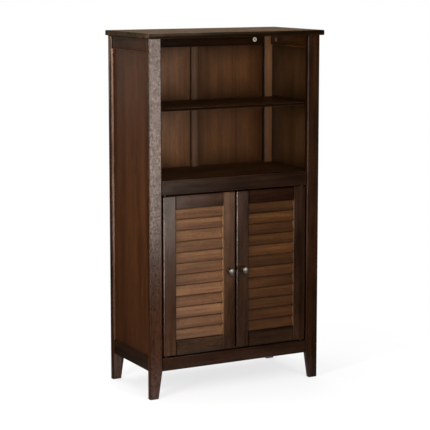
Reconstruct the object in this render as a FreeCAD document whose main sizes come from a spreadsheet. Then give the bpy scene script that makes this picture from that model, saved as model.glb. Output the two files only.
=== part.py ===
import FreeCAD, Part
import os
import re
import Sketcher
from FreeCAD import Placement, Rotation, Vector

document = FreeCAD.newDocument("BathroomCabinet")
sheet = document.addObject("Spreadsheet::Sheet", "Sizes")

# Driving dimensions in millimetres, angles in degrees.
sizes = {
    "carcass_width": 598,  # over the legs
    "carcass_depth": 294,
    "total_height": 1118,
    "top_thickness": 16,
    "top_side_overhang": 7,
    "top_front_overhang": 16,
    "top_rear_overhang": 4,
    "top_edge_chamfer": 1.5,
    "leg_width": 43,
    "leg_thickness": 18,
    "foot_width": 30,  # the inner edge tapers to this at the floor
    "leg_edge_radius": 3.5,
    "leg_tenon_width": 24,  # in the top panel
    "leg_tenon_thickness": 8,
    "leg_tenon_height": 8,
    "rail_clearance": 85,  # floor to the lower rails
    "rail_thickness": 14,
    "rail_edge_chamfer": 1.5,
    "rail_tenon_length": 10,
    "rail_tenon_thickness": 8,
    "rail_tenon_shoulder": 8,
    "top_rail_height": 42,
    "side_bottom_rail_height": 45,
    "front_bottom_rail_height": 41,
    "middle_rail_height": 45,
    "middle_rail_bottom": 629.5,
    "front_rail_edge_chamfer": 2,
    "side_rail_inset": 5,  # behind the legs' outer faces
    "back_rail_setback": 4,  # behind the rear legs' front faces
    "panel_thickness": 3,
    "side_panel_inset": 10,
    "back_panel_inset": 7,  # behind the back rails' front faces
    "groove_depth": 6,
    "groove_clearance": 0.1,
    "groove_end_clearance": 0.5,
    "centre_stile_width": 24,
    "deck_thickness": 15,
    "deck_step": 2,  # below the top of the rail before it
    "housing_depth": 4,  # of the fixed boards in legs and rails
    "board_clearance": 0.2,
    "joint_clearance": 0.1,
    "shelf_top_height": 890.5,
    "shelf_thickness": 9,
    "shelf_clearance": 1.5,
    "shelf_edge_chamfer": 1,
    "pin_inset": 24,  # shelf pin, from the carcass's side
    "pin_radius": 2.5,
    "pin_depth": 8,
    "pin_projection": 9,
    "door_side_gap": 5,
    "door_meeting_gap": 6,
    "door_gap": 4,  # above and below the doors
    "door_thickness": 20,
    "door_edge_radius": 3,
    "stile_width": 43,
    "door_top_rail_height": 41,
    "door_bottom_rail_height": 46,
    "tenon_length": 12,
    "tenon_thickness": 8,
    "tenon_shoulder": 7,
    "slat_count": 12,
    "slat_width": 38,
    "slat_thickness": 4.5,
    "slat_nose_bevel": 1.3,  # on both sides of the lower edge
    "slat_tilt": 20,  # from upright, the lower edge to the front
    "slat_nose_setback": 2,
    "slat_sill_gap": 0.5,
    "slat_seat": 6,
    "slat_end_clearance": 0.3,
    "slat_rebate_depth": 10,  # behind the door's top rail, for the top slat
    "slat_rebate_height": 4,
    "pivot_inset": 9,  # hinge axis, from the door's hinge edge
    "pivot_radius": 2.5,
    "pivot_clearance": 0.05,
    "pivot_depth": 12,
    "pivot_foot_radius": 4,  # the lower pins are thick up to the door
    "pivot_lift": 0.2,
    "knob_radius": 10.5,
    "knob_projection": 24,
    "knob_neck_radius": 5.5,
    "knob_rim_thickness": 4.5,
    "knob_face_radius": 7,
    "knob_face_rise": 3,
    "knob_stud_radius": 2,
    "knob_stud_length": 14,
    "knob_height": 249,  # above the door's lower edge
    "cam_radius": 7.5,
    "cam_drop": 24,  # its centre, below the top panel
    "cam_inset": 34,  # from the leg beside it
    "cam_depth": 11.5,
    "cam_slot_length": 9,
    "cam_slot_width": 1.6,
    "cam_slot_depth": 2,
    "bolt_radius": 3,
    "bolt_seat": 11,  # length in the top panel
    "bolt_end": 3,  # past the cam's centre
    "catch_length": 50,
    "catch_depth": 14,
    "catch_height": 15,
    "catch_groove": 2,
    "catch_pole_width": 16,
    "strike_width": 20,
    "strike_height": 12,
    "strike_thickness": 1.2,
    "strike_lift": 2,  # above the door's lower edge
    "strike_edge_inset": 3,  # from the door's meeting edge
    "strike_gap": 0.3,
}
for row, (alias, value) in enumerate(sizes.items(), start=1):
    sheet.set("A%d" % row, alias)
    sheet.set("B%d" % row, str(value))
    sheet.setAlias("B%d" % row, alias)
document.recompute()


# Formulas name the sizes by their aliases.
def bound(formula):
    return re.sub(
        r"[a-z_]+", lambda word: "Sizes." + word[0] if word[0] in sizes else word[0], formula
    )


# Heights and depths that several pieces share, as formulas. The legs' front faces lie so
# that the origin is under the middle of the whole cabinet, knobs included.
carcass_front = "(0 - (carcass_depth + top_rear_overhang - knob_projection) / 2)"
front_leg_back = "(" + carcass_front + " + leg_thickness)"
rear_leg_front = "(" + carcass_front + " + carcass_depth - leg_thickness)"
leg_spacing = "(carcass_depth - 2 * leg_thickness)"
leg_opening = "(carcass_width - 2 * leg_width)"
carcass_top = "(total_height - top_thickness)"
top_rail_bottom = "(" + carcass_top + " - top_rail_height)"
side_rail_top = "(rail_clearance + side_bottom_rail_height)"
front_rail_top = "(rail_clearance + front_bottom_rail_height)"
back_rail_front = "(" + rear_leg_front + " + back_rail_setback)"
back_panel_front = "(" + back_rail_front + " + back_panel_inset)"
groove_width = "(panel_thickness + 2 * groove_clearance)"
tongue = "(groove_depth - groove_end_clearance)"
panel_bottom = "(" + side_rail_top + " - groove_depth)"
panel_height = "(" + top_rail_bottom + " - " + side_rail_top + " + groove_depth + " + tongue + ")"
deck_top = "(middle_rail_bottom + middle_rail_height - deck_step)"
deck_bottom = "(" + deck_top + " - deck_thickness)"
floor_top = "(" + front_rail_top + " - deck_step)"
floor_bottom = "(" + floor_top + " - deck_thickness)"
shelf_bottom = "(shelf_top_height - shelf_thickness)"
door_bottom = "(" + front_rail_top + " + door_gap)"
door_height = "(middle_rail_bottom - 2 * door_gap - " + front_rail_top + ")"
door_width = "((" + leg_opening + " - door_meeting_gap) / 2 - door_side_gap)"
door_opening_height = "(" + door_height + " - door_top_rail_height - door_bottom_rail_height)"
slat_pitch = "(" + door_opening_height + " / slat_count)"

pieces = []


# A piece has its own body, whose origin is the piece's low corner.
def newPiece(label, place):
    body = document.addObject("PartDesign::Body", label)
    body.Label = label
    for axis, formula in zip("xyz", place):
        body.setExpression("Placement.Base." + axis, bound(formula))
    pieces.append(body)
    return body


def bindSizes(feature, values):
    for name, formula in values.items():
        feature.setExpression(name, bound(formula))


def block(body, name, size, place=("0", "0", "0"), cut=False):
    kind = "PartDesign::SubtractiveBox" if cut else "PartDesign::AdditiveBox"
    feature = body.newObject(kind, name)
    bindSizes(feature, dict(zip(("Length", "Width", "Height"), size)))
    bindSizes(feature, {"Placement.Base." + axis: f for axis, f in zip("xyz", place)})
    return feature


turns = {
    "+x": Rotation(Vector(0, 1, 0), 90),
    "-x": Rotation(Vector(0, 1, 0), -90),
    "+y": Rotation(Vector(1, 0, 0), -90),
    "-y": Rotation(Vector(1, 0, 0), 90),
    "+z": Rotation(),
    "-z": Rotation(Vector(1, 0, 0), 180),
}


# A round hole that starts at a point of the piece and runs in one direction.
def bore(body, name, radius, depth, place, direction):
    feature = body.newObject("PartDesign::SubtractiveCylinder", name)
    feature.Placement = Placement(Vector(), turns[direction])
    bindSizes(feature, {"Radius": radius, "Height": depth})
    bindSizes(feature, {"Placement.Base." + axis: f for axis, f in zip("xyz", place)})
    return feature


def runsAlong(edge, axis):
    if len(edge.Vertexes) != 2:
        return False
    step = edge.Vertexes[1].Point - edge.Vertexes[0].Point
    return abs(abs(getattr(step.normalize(), axis)) - 1) < 1e-6


# The side of the piece that an edge lies on: "-y" is the front face, "+z" the top.
def liesOn(edge, side, solid):
    box = solid.BoundBox
    axis = side[1].upper()
    face = getattr(box, axis + ("Min" if side[0] == "-" else "Max"))
    return abs(getattr(edge.CenterOfMass, side[1]) - face) < 1e-6


# Rounded or bevelled edges
def dressEdges(body, name, kind, size_name, size, chosen):
    document.recompute()
    base = body.Tip
    edges = [
        "Edge%d" % number
        for number, edge in enumerate(base.Shape.Edges, start=1)
        if chosen(edge, base.Shape)
    ]
    feature = body.newObject(kind, name)
    feature.Base = (base, edges)
    bindSizes(feature, {size_name: size})
    document.recompute()


def roundEdges(body, name, radius, chosen):
    dressEdges(body, name, "PartDesign::Fillet", "Radius", radius, chosen)


def bevelEdges(body, name, size, chosen):
    dressEdges(body, name, "PartDesign::Chamfer", "Size", size, chosen)


# Long edges of a board that runs along one axis.
def longEdges(axis, sides=None):
    def chosen(edge, solid):
        if not runsAlong(edge, axis):
            return False
        return sides is None or any(liesOn(edge, side, solid) for side in sides)

    return chosen


# The long edges of a rail, but for the two that lie under the top panel.
def exposedEdges(axis, under_top):
    return longEdges(axis, ("-z",) if under_top else None)


# A closed outline through corners given as pairs of formulas, from the sketch's origin.
# Its lines are first drawn round a circle, and the formulas then move their corners.
def outline(sketch, corners):
    count = len(corners)
    spread = [Rotation(Vector(0, 0, 1), 360 * n / count).multVec(Vector(count, 0, 0)) for n in range(count)]
    for number in range(count):
        sketch.addGeometry(Part.LineSegment(spread[number], spread[(number + 1) % count]), False)
    for number in range(count):
        sketch.addConstraint(Sketcher.Constraint("Coincident", number, 2, (number + 1) % count, 1))
    for number, corner in enumerate(corners):
        for kind, axis, formula in (("DistanceX", -2, corner[0]), ("DistanceY", -1, corner[1])):
            if formula == "0":
                sketch.addConstraint(Sketcher.Constraint("PointOnObject", number, 1, axis))
                continue
            index = sketch.addConstraint(Sketcher.Constraint(kind, -1, 1, number, 1, 10.0))
            sketch.setExpression("Constraints[%d]" % index, bound(formula))


# A sketch on one of the planes through the piece's origin
def newSketch(body, name, role):
    sketch = body.newObject("Sketcher::SketchObject", name)
    plane = next(plane for plane in body.Origin.OriginFeatures if plane.Role == role)
    sketch.AttachmentSupport = (plane, [""])
    sketch.MapMode = "FlatFace"
    return sketch


def pad(body, name, sketch, length, reverse=False):
    feature = body.newObject("PartDesign::Pad", name)
    feature.Profile = sketch
    feature.Reversed = reverse
    bindSizes(feature, {"Length": length})
    return feature


# Distances across the carcass: the low x of something that lies inset from the outside.
def fromSide(side, inset, width):
    if side == "left":
        return "(%s - carcass_width / 2)" % inset
    return "(carcass_width / 2 - %s - %s)" % (inset, width)


# The same within one piece of a given width.
def within(side, inset, width, whole):
    return inset if side == "left" else "(%s - %s - %s)" % (whole, inset, width)


# Top panel, with mortises for the legs' tenons and holes for the four bolts
top_width = "(carcass_width + 2 * top_side_overhang)"
rear_leg_in_top = "(top_front_overhang + carcass_depth - leg_thickness)"
back_cam_in_top = (
    "(top_side_overhang + leg_width + cam_inset)",
    "(" + rear_leg_in_top + " + back_rail_setback + rail_thickness / 2)",
)
side_cam_in_top = (
    "(top_side_overhang + side_rail_inset + rail_thickness / 2)",
    "(" + rear_leg_in_top + " - cam_inset)",
)
top = newPiece(
    "top_panel",
    (
        "(0 - carcass_width / 2 - top_side_overhang)",
        "(" + carcass_front + " - top_front_overhang)",
        carcass_top,
    ),
)
block(
    top,
    "TopBoard",
    (top_width, "(carcass_depth + top_front_overhang + top_rear_overhang)", "top_thickness"),
)
bevelEdges(
    top,
    "TopEdges",
    "top_edge_chamfer",
    lambda edge, solid: liesOn(edge, "-z", solid) or liesOn(edge, "+z", solid),
)
for side in ("left", "right"):
    for end, leg_front in (("Front", "top_front_overhang"), ("Rear", rear_leg_in_top)):
        block(
            top,
            side.title() + end + "Mortise",
            (
                "(leg_tenon_width + 2 * joint_clearance)",
                "(leg_tenon_thickness + 2 * joint_clearance)",
                "(leg_tenon_height + joint_clearance)",
            ),
            (
                within(
                    side,
                    "(top_side_overhang + (leg_width - leg_tenon_width) / 2 - joint_clearance)",
                    "(leg_tenon_width + 2 * joint_clearance)",
                    top_width,
                ),
                "(%s + (leg_thickness - leg_tenon_thickness) / 2 - joint_clearance)" % leg_front,
                "0",
            ),
            cut=True,
        )
    for name, place in (("Back", back_cam_in_top), ("Side", side_cam_in_top)):
        bore(
            top,
            side.title() + name + "Bolt",
            "bolt_radius",
            "bolt_seat",
            (within(side, place[0], "0", top_width), place[1], "0"),
            "+z",
        )

# Legs. Each has mortises for the rails that end on it, grooves for the thin panels, a
# housing for the fixed shelf's corner and a hole for a shelf pin.
def makeLeg(side, end):
    label = end + "_" + side + "_leg"
    place = carcass_front if end == "front" else rear_leg_front
    leg = newPiece(label, (fromSide(side, "0", "leg_width"), place, "0"))
    profile = newSketch(leg, label + "Profile", "XZ_Plane")
    if side == "left":
        corners = [
            ("0", "0"),
            ("foot_width", "0"),
            ("leg_width", "rail_clearance"),
            ("leg_width", carcass_top),
            ("0", carcass_top),
        ]
    else:
        corners = [
            ("(leg_width - foot_width)", "0"),
            ("leg_width", "0"),
            ("leg_width", carcass_top),
            ("0", carcass_top),
            ("0", "rail_clearance"),
        ]
    outline(profile, corners)
    pad(leg, label + "Board", profile, "leg_thickness", True)
    roundEdges(
        leg,
        label + "Edges",
        "leg_edge_radius",
        lambda edge, solid: not runsAlong(edge, "x") and not runsAlong(edge, "y"),
    )
    block(
        leg,
        label + "Tenon",
        ("leg_tenon_width", "leg_tenon_thickness", "leg_tenon_height"),
        (
            "((leg_width - leg_tenon_width) / 2)",
            "((leg_thickness - leg_tenon_thickness) / 2)",
            carcass_top,
        ),
    )
    deep = "(rail_tenon_length + joint_clearance)"
    wide = "(rail_tenon_thickness + 2 * joint_clearance)"

    def railMortise(name, bottom, height, place, size):
        block(
            leg,
            label + name + "Mortise",
            size + ("(" + height + " - 2 * rail_tenon_shoulder + 2 * joint_clearance)",),
            place + ("(" + bottom + " + rail_tenon_shoulder - joint_clearance)",),
            cut=True,
        )

    side_place = (
        within(
            side,
            "(side_rail_inset + (rail_thickness - rail_tenon_thickness) / 2 - joint_clearance)",
            wide,
            "leg_width",
        ),
        "(leg_thickness - " + deep + ")" if end == "front" else "0",
    )
    railMortise("LowSide", "rail_clearance", "side_bottom_rail_height", side_place, (wide, deep))
    railMortise("HighSide", top_rail_bottom, "top_rail_height", side_place, (wide, deep))
    block(
        leg,
        label + "SideGroove",
        (groove_width, "groove_depth", panel_height),
        (
            within(side, "(side_panel_inset - groove_clearance)", groove_width, "leg_width"),
            "(leg_thickness - groove_depth)" if end == "front" else "0",
            panel_bottom,
        ),
        cut=True,
    )
    inner = "(leg_width - " + deep + ")" if side == "left" else "0"
    if end == "front":
        place = (inner, "((leg_thickness - rail_tenon_thickness) / 2 - joint_clearance)")
        railMortise("Low", "rail_clearance", "front_bottom_rail_height", place, (deep, wide))
        railMortise("Middle", "middle_rail_bottom", "middle_rail_height", place, (deep, wide))
    else:
        place = (
            inner,
            "(back_rail_setback + (rail_thickness - rail_tenon_thickness) / 2 - joint_clearance)",
        )
        railMortise("Low", "rail_clearance", "side_bottom_rail_height", place, (deep, wide))
        railMortise("High", top_rail_bottom, "top_rail_height", place, (deep, wide))
        block(
            leg,
            label + "BackGroove",
            ("groove_depth", groove_width, panel_height),
            (
                within(side, "(leg_width - groove_depth)", "groove_depth", "leg_width"),
                "(back_rail_setback + back_panel_inset - groove_clearance)",
                panel_bottom,
            ),
            cut=True,
        )
    housing_width = "(leg_width - side_panel_inset - panel_thickness)"
    block(
        leg,
        label + "Housing",
        (housing_width, "housing_depth", "(deck_thickness + joint_clearance)"),
        (
            within(side, "(side_panel_inset + panel_thickness)", housing_width, "leg_width"),
            "(leg_thickness - housing_depth)" if end == "front" else "0",
            deck_bottom,
        ),
        cut=True,
    )
    bore(
        leg,
        label + "PinHole",
        "pin_radius",
        "pin_depth",
        (
            within(side, "pin_inset", "0", "leg_width"),
            "leg_thickness" if end == "front" else "0",
            "(" + shelf_bottom + " - pin_radius)",
        ),
        "-y" if end == "front" else "+y",
    )


for side in ("left", "right"):
    for end in ("front", "rear"):
        makeLeg(side, end)


# A tenon at both ends of a rail that lies along x or y. Its shoulders are the piece's
# own ends, and the tenons reach past them.
def railTenons(rail, label, axis, length, thickness, height):
    long_side = "(" + length + " + 2 * rail_tenon_length)"
    start = "(0 - rail_tenon_length)"
    inset = "((" + thickness + " - rail_tenon_thickness) / 2)"
    along_x = axis == "x"
    block(
        rail,
        label + "Tenons",
        (
            long_side if along_x else "rail_tenon_thickness",
            "rail_tenon_thickness" if along_x else long_side,
            "(" + height + " - 2 * rail_tenon_shoulder)",
        ),
        (start if along_x else inset, inset if along_x else start, "rail_tenon_shoulder"),
    )


# The holes for a cam, in the rail's inner face, and for the bolt that comes down into it
def camHoles(rail, label, place, face_place, into):
    height = "(top_rail_height - cam_drop)"
    bore(
        rail,
        label + "Bolt",
        "(bolt_radius + joint_clearance)",
        "(cam_drop + bolt_end + joint_clearance)",
        place + ("top_rail_height",),
        "-z",
    )
    bore(
        rail,
        label + "Cam",
        "(cam_radius + joint_clearance)",
        "(cam_depth + joint_clearance)",
        face_place + (height,),
        into,
    )


# Side rails, with a groove for the panel in the edge that faces it
def makeSideRail(side, level):
    label = side + "_" + level + "_side_rail"
    upper = level == "top"
    height = "top_rail_height" if upper else "side_bottom_rail_height"
    bottom = top_rail_bottom if upper else "rail_clearance"
    rail = newPiece(
        label, (fromSide(side, "side_rail_inset", "rail_thickness"), front_leg_back, bottom)
    )
    block(rail, label + "Board", ("rail_thickness", leg_spacing, height))
    bevelEdges(rail, label + "Edges", "rail_edge_chamfer", exposedEdges("y", upper))
    block(
        rail,
        label + "Groove",
        (groove_width, leg_spacing, "groove_depth"),
        (
            within(
                side,
                "(side_panel_inset - side_rail_inset - groove_clearance)",
                groove_width,
                "rail_thickness",
            ),
            "0",
            "0" if upper else "(side_bottom_rail_height - groove_depth)",
        ),
        cut=True,
    )
    railTenons(rail, label, "y", leg_spacing, "rail_thickness", height)
    if upper:
        along = "(" + leg_spacing + " - cam_inset)"
        face = "rail_thickness" if side == "left" else "0"
        into = "-x" if side == "left" else "+x"
        camHoles(rail, label, ("(rail_thickness / 2)", along), (face, along), into)
    else:
        block(
            rail,
            label + "FloorGroove",
            ("housing_depth", leg_spacing, "(deck_thickness + joint_clearance)"),
            (
                within(side, "(rail_thickness - housing_depth)", "housing_depth", "rail_thickness"),
                "0",
                "(" + floor_bottom + " - rail_clearance)",
            ),
            cut=True,
        )


for side in ("left", "right"):
    for level in ("top", "bottom"):
        makeSideRail(side, level)

# Side panels, let into the grooves all round
for side in ("left", "right"):
    label = side + "_side_panel"
    panel = newPiece(
        label,
        (
            fromSide(side, "side_panel_inset", "panel_thickness"),
            "(" + front_leg_back + " - " + tongue + ")",
            panel_bottom,
        ),
    )
    block(
        panel,
        label + "Sheet",
        ("panel_thickness", "(" + leg_spacing + " + 2 * " + tongue + ")", panel_height),
    )


# Back rails
def makeBackRail(level):
    label = "back_" + level + "_rail"
    upper = level == "top"
    height = "top_rail_height" if upper else "side_bottom_rail_height"
    bottom = top_rail_bottom if upper else "rail_clearance"
    rail = newPiece(label, (fromSide("left", "leg_width", "0"), back_rail_front, bottom))
    block(rail, label + "Board", (leg_opening, "rail_thickness", height))
    bevelEdges(rail, label + "Edges", "rail_edge_chamfer", exposedEdges("x", upper))
    block(
        rail,
        label + "Groove",
        (leg_opening, groove_width, "groove_depth"),
        (
            "0",
            "(back_panel_inset - groove_clearance)",
            "0" if upper else "(side_bottom_rail_height - groove_depth)",
        ),
        cut=True,
    )
    railTenons(rail, label, "x", leg_opening, "rail_thickness", height)
    if upper:
        for number, along in enumerate(("cam_inset", "(" + leg_opening + " - cam_inset)")):
            camHoles(
                rail, "%s%d" % (label, number), (along, "(rail_thickness / 2)"), (along, "0"), "+y"
            )
    else:
        block(
            rail,
            label + "FloorGroove",
            (leg_opening, "housing_depth", "(deck_thickness + joint_clearance)"),
            ("0", "0", "(" + floor_bottom + " - rail_clearance)"),
            cut=True,
        )


makeBackRail("top")
makeBackRail("bottom")

# Back panel, and the centre stile that stiffens it from inside
back_panel = newPiece(
    "back_panel",
    (
        "(" + fromSide("left", "leg_width", "0") + " - " + tongue + ")",
        back_panel_front,
        panel_bottom,
    ),
)
block(
    back_panel,
    "BackSheet",
    ("(" + leg_opening + " + 2 * " + tongue + ")", "panel_thickness", panel_height),
)
centre_stile = newPiece(
    "back_centre_stile", ("(0 - centre_stile_width / 2)", back_rail_front, side_rail_top)
)
block(
    centre_stile,
    "CentreStileBoard",
    ("centre_stile_width", "back_panel_inset", "(" + top_rail_bottom + " - " + side_rail_top + ")"),
)
bevelEdges(centre_stile, "CentreStileEdges", "rail_edge_chamfer", longEdges("z", ("-y",)))


# Front rails, flush with the legs. Each has a rebate behind its upper edge, where a board
# is let in, and a hole for a pivot pin near both ends.
def makeFrontRail(label, bottom, height, board_bottom, pivot_radius, pivot_height, pivot_sense):
    rail = newPiece(label, (fromSide("left", "leg_width", "0"), carcass_front, bottom))
    block(rail, label + "Board", (leg_opening, "leg_thickness", height))
    bevelEdges(rail, label + "Edges", "front_rail_edge_chamfer", longEdges("x", ("-y",)))
    railTenons(rail, label, "x", leg_opening, "leg_thickness", height)
    block(
        rail,
        label + "Rebate",
        (leg_opening, "housing_depth", "(" + bottom + " + " + height + " - " + board_bottom + ")"),
        ("0", "(leg_thickness - housing_depth)", "(" + board_bottom + " - " + bottom + ")"),
        cut=True,
    )
    pivot = "(door_side_gap + pivot_inset)"
    for number, place in enumerate((pivot, "(" + leg_opening + " - " + pivot + ")")):
        bore(
            rail,
            "%sPivot%d" % (label, number),
            pivot_radius,
            "pivot_depth",
            (place, "(door_thickness / 2)", pivot_height),
            pivot_sense,
        )


makeFrontRail(
    "front_middle_rail",
    "middle_rail_bottom",
    "middle_rail_height",
    deck_bottom,
    "pivot_radius",
    "0",
    "+z",
)
makeFrontRail(
    "front_bottom_rail",
    "rail_clearance",
    "front_bottom_rail_height",
    floor_bottom,
    "pivot_foot_radius",
    "front_bottom_rail_height",
    "-z",
)

# The fixed shelf at half height lies between the side panels, let into the middle rail and
# the legs. At the back it is notched round the centre stile and reaches the thin back.
let_in = "(housing_depth - board_clearance)"
board_front = "(" + front_leg_back + " - " + let_in + ")"
deck_width = "(carcass_width - 2 * (side_panel_inset + panel_thickness + board_clearance))"
deck_notch = "(leg_width - side_panel_inset - panel_thickness)"
deck_corner = "(" + leg_spacing + " + 2 * " + let_in + ")"
stile_notch = "(" + leg_spacing + " + " + let_in + " + back_rail_setback - board_clearance)"
deck_rear = "(" + stile_notch + " + back_panel_inset)"
half_notch = "(centre_stile_width / 2 + board_clearance)"
deck = newPiece("fixed_shelf", ("(0 - " + deck_width + " / 2)", board_front, deck_bottom))
deck_outline = newSketch(deck, "DeckOutline", "XY_Plane")
outline(
    deck_outline,
    [
        ("0", "0"),
        (deck_width, "0"),
        (deck_width, deck_corner),
        ("(" + deck_width + " - " + deck_notch + ")", deck_corner),
        ("(" + deck_width + " - " + deck_notch + ")", deck_rear),
        ("(" + deck_width + " / 2 + " + half_notch + ")", deck_rear),
        ("(" + deck_width + " / 2 + " + half_notch + ")", stile_notch),
        ("(" + deck_width + " / 2 - " + half_notch + ")", stile_notch),
        ("(" + deck_width + " / 2 - " + half_notch + ")", deck_rear),
        (deck_notch, deck_rear),
        (deck_notch, deck_corner),
        ("0", deck_corner),
    ],
)
pad(deck, "DeckBoard", deck_outline, "deck_thickness")

# The floor of the cupboard is let into the four bottom rails and notched round the legs.
side_let_in = "(side_rail_inset + rail_thickness - " + let_in + ")"
floor_width = "(carcass_width - 2 * " + side_let_in + ")"
floor_notch = "(leg_width + board_clearance - " + side_let_in + ")"
floor_depth = "(" + leg_spacing + " + 2 * " + let_in + " + back_rail_setback)"
notch_front = "(" + let_in + " + board_clearance)"
notch_rear = "(" + let_in + " + " + leg_spacing + " - board_clearance)"
floor_board = newPiece("floor_panel", ("(0 - " + floor_width + " / 2)", board_front, floor_bottom))
floor_outline = newSketch(floor_board, "FloorOutline", "XY_Plane")
outline(
    floor_outline,
    [
        (floor_notch, "0"),
        ("(" + floor_width + " - " + floor_notch + ")", "0"),
        ("(" + floor_width + " - " + floor_notch + ")", notch_front),
        (floor_width, notch_front),
        (floor_width, notch_rear),
        ("(" + floor_width + " - " + floor_notch + ")", notch_rear),
        ("(" + floor_width + " - " + floor_notch + ")", floor_depth),
        (floor_notch, floor_depth),
        (floor_notch, notch_rear),
        ("0", notch_rear),
        ("0", notch_front),
        (floor_notch, notch_front),
    ],
)
pad(floor_board, "FloorBoard", floor_outline, "deck_thickness")

# The loose shelf lies on its pins between the front and rear legs.
shelf_width = "(carcass_width - 2 * (side_panel_inset + panel_thickness + shelf_clearance))"
shelf = newPiece(
    "adjustable_shelf",
    ("(0 - " + shelf_width + " / 2)", "(" + front_leg_back + " + shelf_clearance)", shelf_bottom),
)
block(
    shelf,
    "ShelfBoard",
    (shelf_width, "(" + leg_spacing + " - 2 * shelf_clearance)", "shelf_thickness"),
)
bevelEdges(shelf, "ShelfEdges", "shelf_edge_chamfer", longEdges("x", ("-y",)))


# Distances across a door, from its hinge edge
def fromHinge(side, inset, width):
    return fromSide(side, "(leg_width + door_side_gap + " + inset + ")", width)


# A slat stands tilted, its lower edge to the front. Across a sketch of its section lies the
# depth in the door, and up it the height over the opening's lower edge. Half a thickness
# above the lower edge, in the slat's middle, is the point that its sizes start from.
slat_half = "(slat_thickness / 2)"
slat_rise = "(slat_width - slat_thickness / 2)"
slat_foot_depth = "(slat_nose_setback + slat_thickness / 2)"
slat_foot_height = "(slat_sill_gap + slat_thickness / 2)"


# A point at some distance up the slat from that one, and across it
def onSlat(up, across, lift="0"):
    return (
        "(%s + %s * sin(slat_tilt) + %s * cos(slat_tilt))" % (slat_foot_depth, up, across),
        "(%s + %s + %s * cos(slat_tilt) - %s * sin(slat_tilt))"
        % (lift, slat_foot_height, up, across),
    )


# The section: flat sides, a bevelled lower edge and a square upper one
slat_section = [
    onSlat("(slat_nose_bevel - " + slat_half + ")", "(0 - " + slat_half + ")"),
    onSlat("(0 - " + slat_half + ")", "(slat_nose_bevel - " + slat_half + ")"),
    onSlat("(0 - " + slat_half + ")", "(" + slat_half + " - slat_nose_bevel)"),
    onSlat("(slat_nose_bevel - " + slat_half + ")", slat_half),
    onSlat(slat_rise, slat_half),
    onSlat(slat_rise, "(0 - " + slat_half + ")"),
]


# Door stiles: slanted mortises for the slats, square ones for the rails' tenons
def makeStile(side, role):
    label = side + "_door_" + role + "_stile"
    at_hinge = role == "hinge"
    inset = "0" if at_hinge else "(" + door_width + " - stile_width)"
    stile = newPiece(label, (fromHinge(side, inset, "stile_width"), carcass_front, door_bottom))
    block(stile, label + "Board", ("stile_width", "door_thickness", door_height))
    outer = "-x" if at_hinge == (side == "left") else "+x"
    inner = "+x" if outer == "-x" else "-x"
    roundEdges(stile, label + "Edges", "door_edge_radius", longEdges("z", (outer,)))
    for name, low, height in (
        ("Low", "0", "door_bottom_rail_height"),
        ("High", "(" + door_height + " - door_top_rail_height)", "door_top_rail_height"),
    ):
        depth = "(tenon_length + slat_end_clearance)"
        block(
            stile,
            label + name + "Mortise",
            (
                depth,
                "(tenon_thickness + 2 * joint_clearance)",
                "(" + height + " - 2 * tenon_shoulder + 2 * joint_clearance)",
            ),
            (
                "0" if inner == "-x" else "(stile_width - " + depth + ")",
                "((door_thickness - tenon_thickness) / 2 - joint_clearance)",
                "(" + low + " + tenon_shoulder - joint_clearance)",
            ),
            cut=True,
        )
    slot = newSketch(stile, label + "SlatSlot", "YZ_Plane")
    if inner == "+x":
        slot.setExpression("AttachmentOffset.Base.z", bound("stile_width"))
    side_reach = "(" + slat_half + " + joint_clearance)"
    low_end = "(0 - " + side_reach + ")"
    high_end = "(" + slat_rise + " + joint_clearance)"
    corners = ((low_end, low_end), (low_end, side_reach), (high_end, side_reach), (high_end, low_end))
    outline(slot, [onSlat(up, across, "door_bottom_rail_height") for up, across in corners])
    pocket = stile.newObject("PartDesign::Pocket", label + "SlatMortise")
    pocket.Profile = slot
    pocket.Reversed = inner == "-x"
    bindSizes(pocket, {"Length": "slat_seat"})
    row = stile.newObject("PartDesign::LinearPattern", label + "SlatMortises")
    row.Originals = [pocket]
    row.Direction = (slot, ["V_Axis"])
    bindSizes(row, {"Length": slat_pitch + " * (slat_count - 1)", "Occurrences": "slat_count"})
    stile.Tip = row
    if at_hinge:
        pivot = within(side, "pivot_inset", "0", "stile_width")
        for name, height, sense in (("Low", "0", "+z"), ("High", door_height, "-z")):
            bore(
                stile,
                label + name + "Pivot",
                "(pivot_radius + pivot_clearance)",
                "(pivot_depth + pivot_clearance)",
                (pivot, "(door_thickness / 2)", height),
                sense,
            )
    else:
        bore(
            stile,
            label + "KnobHole",
            "(knob_stud_radius + joint_clearance)",
            "(knob_stud_length + joint_clearance)",
            ("(stile_width / 2)", "0", "knob_height"),
            "+y",
        )


# Door rails with tenons. The top one is rebated behind for the top slat's upper edge.
def makeDoorRail(side, level):
    label = side + "_door_" + level + "_rail"
    height = "door_" + level + "_rail_height"
    bottom = door_bottom
    if level == "top":
        bottom = "(" + door_bottom + " + " + door_height + " - door_top_rail_height)"
    length = "(" + door_width + " - 2 * stile_width)"
    rail = newPiece(
        label,
        (
            fromHinge(side, "(stile_width - tenon_length)", length + " - 2 * tenon_length"),
            carcass_front,
            bottom,
        ),
    )
    block(
        rail,
        label + "Board",
        (length, "door_thickness", height),
        ("tenon_length", "0", "0"),
    )
    block(
        rail,
        label + "Tenons",
        (
            "(" + length + " + 2 * tenon_length)",
            "tenon_thickness",
            "(" + height + " - 2 * tenon_shoulder)",
        ),
        ("0", "((door_thickness - tenon_thickness) / 2)", "tenon_shoulder"),
    )
    if level == "top":
        block(
            rail,
            label + "Rebate",
            (length, "slat_rebate_depth", "slat_rebate_height"),
            ("tenon_length", "(door_thickness - slat_rebate_depth)", "0"),
            cut=True,
        )


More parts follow.
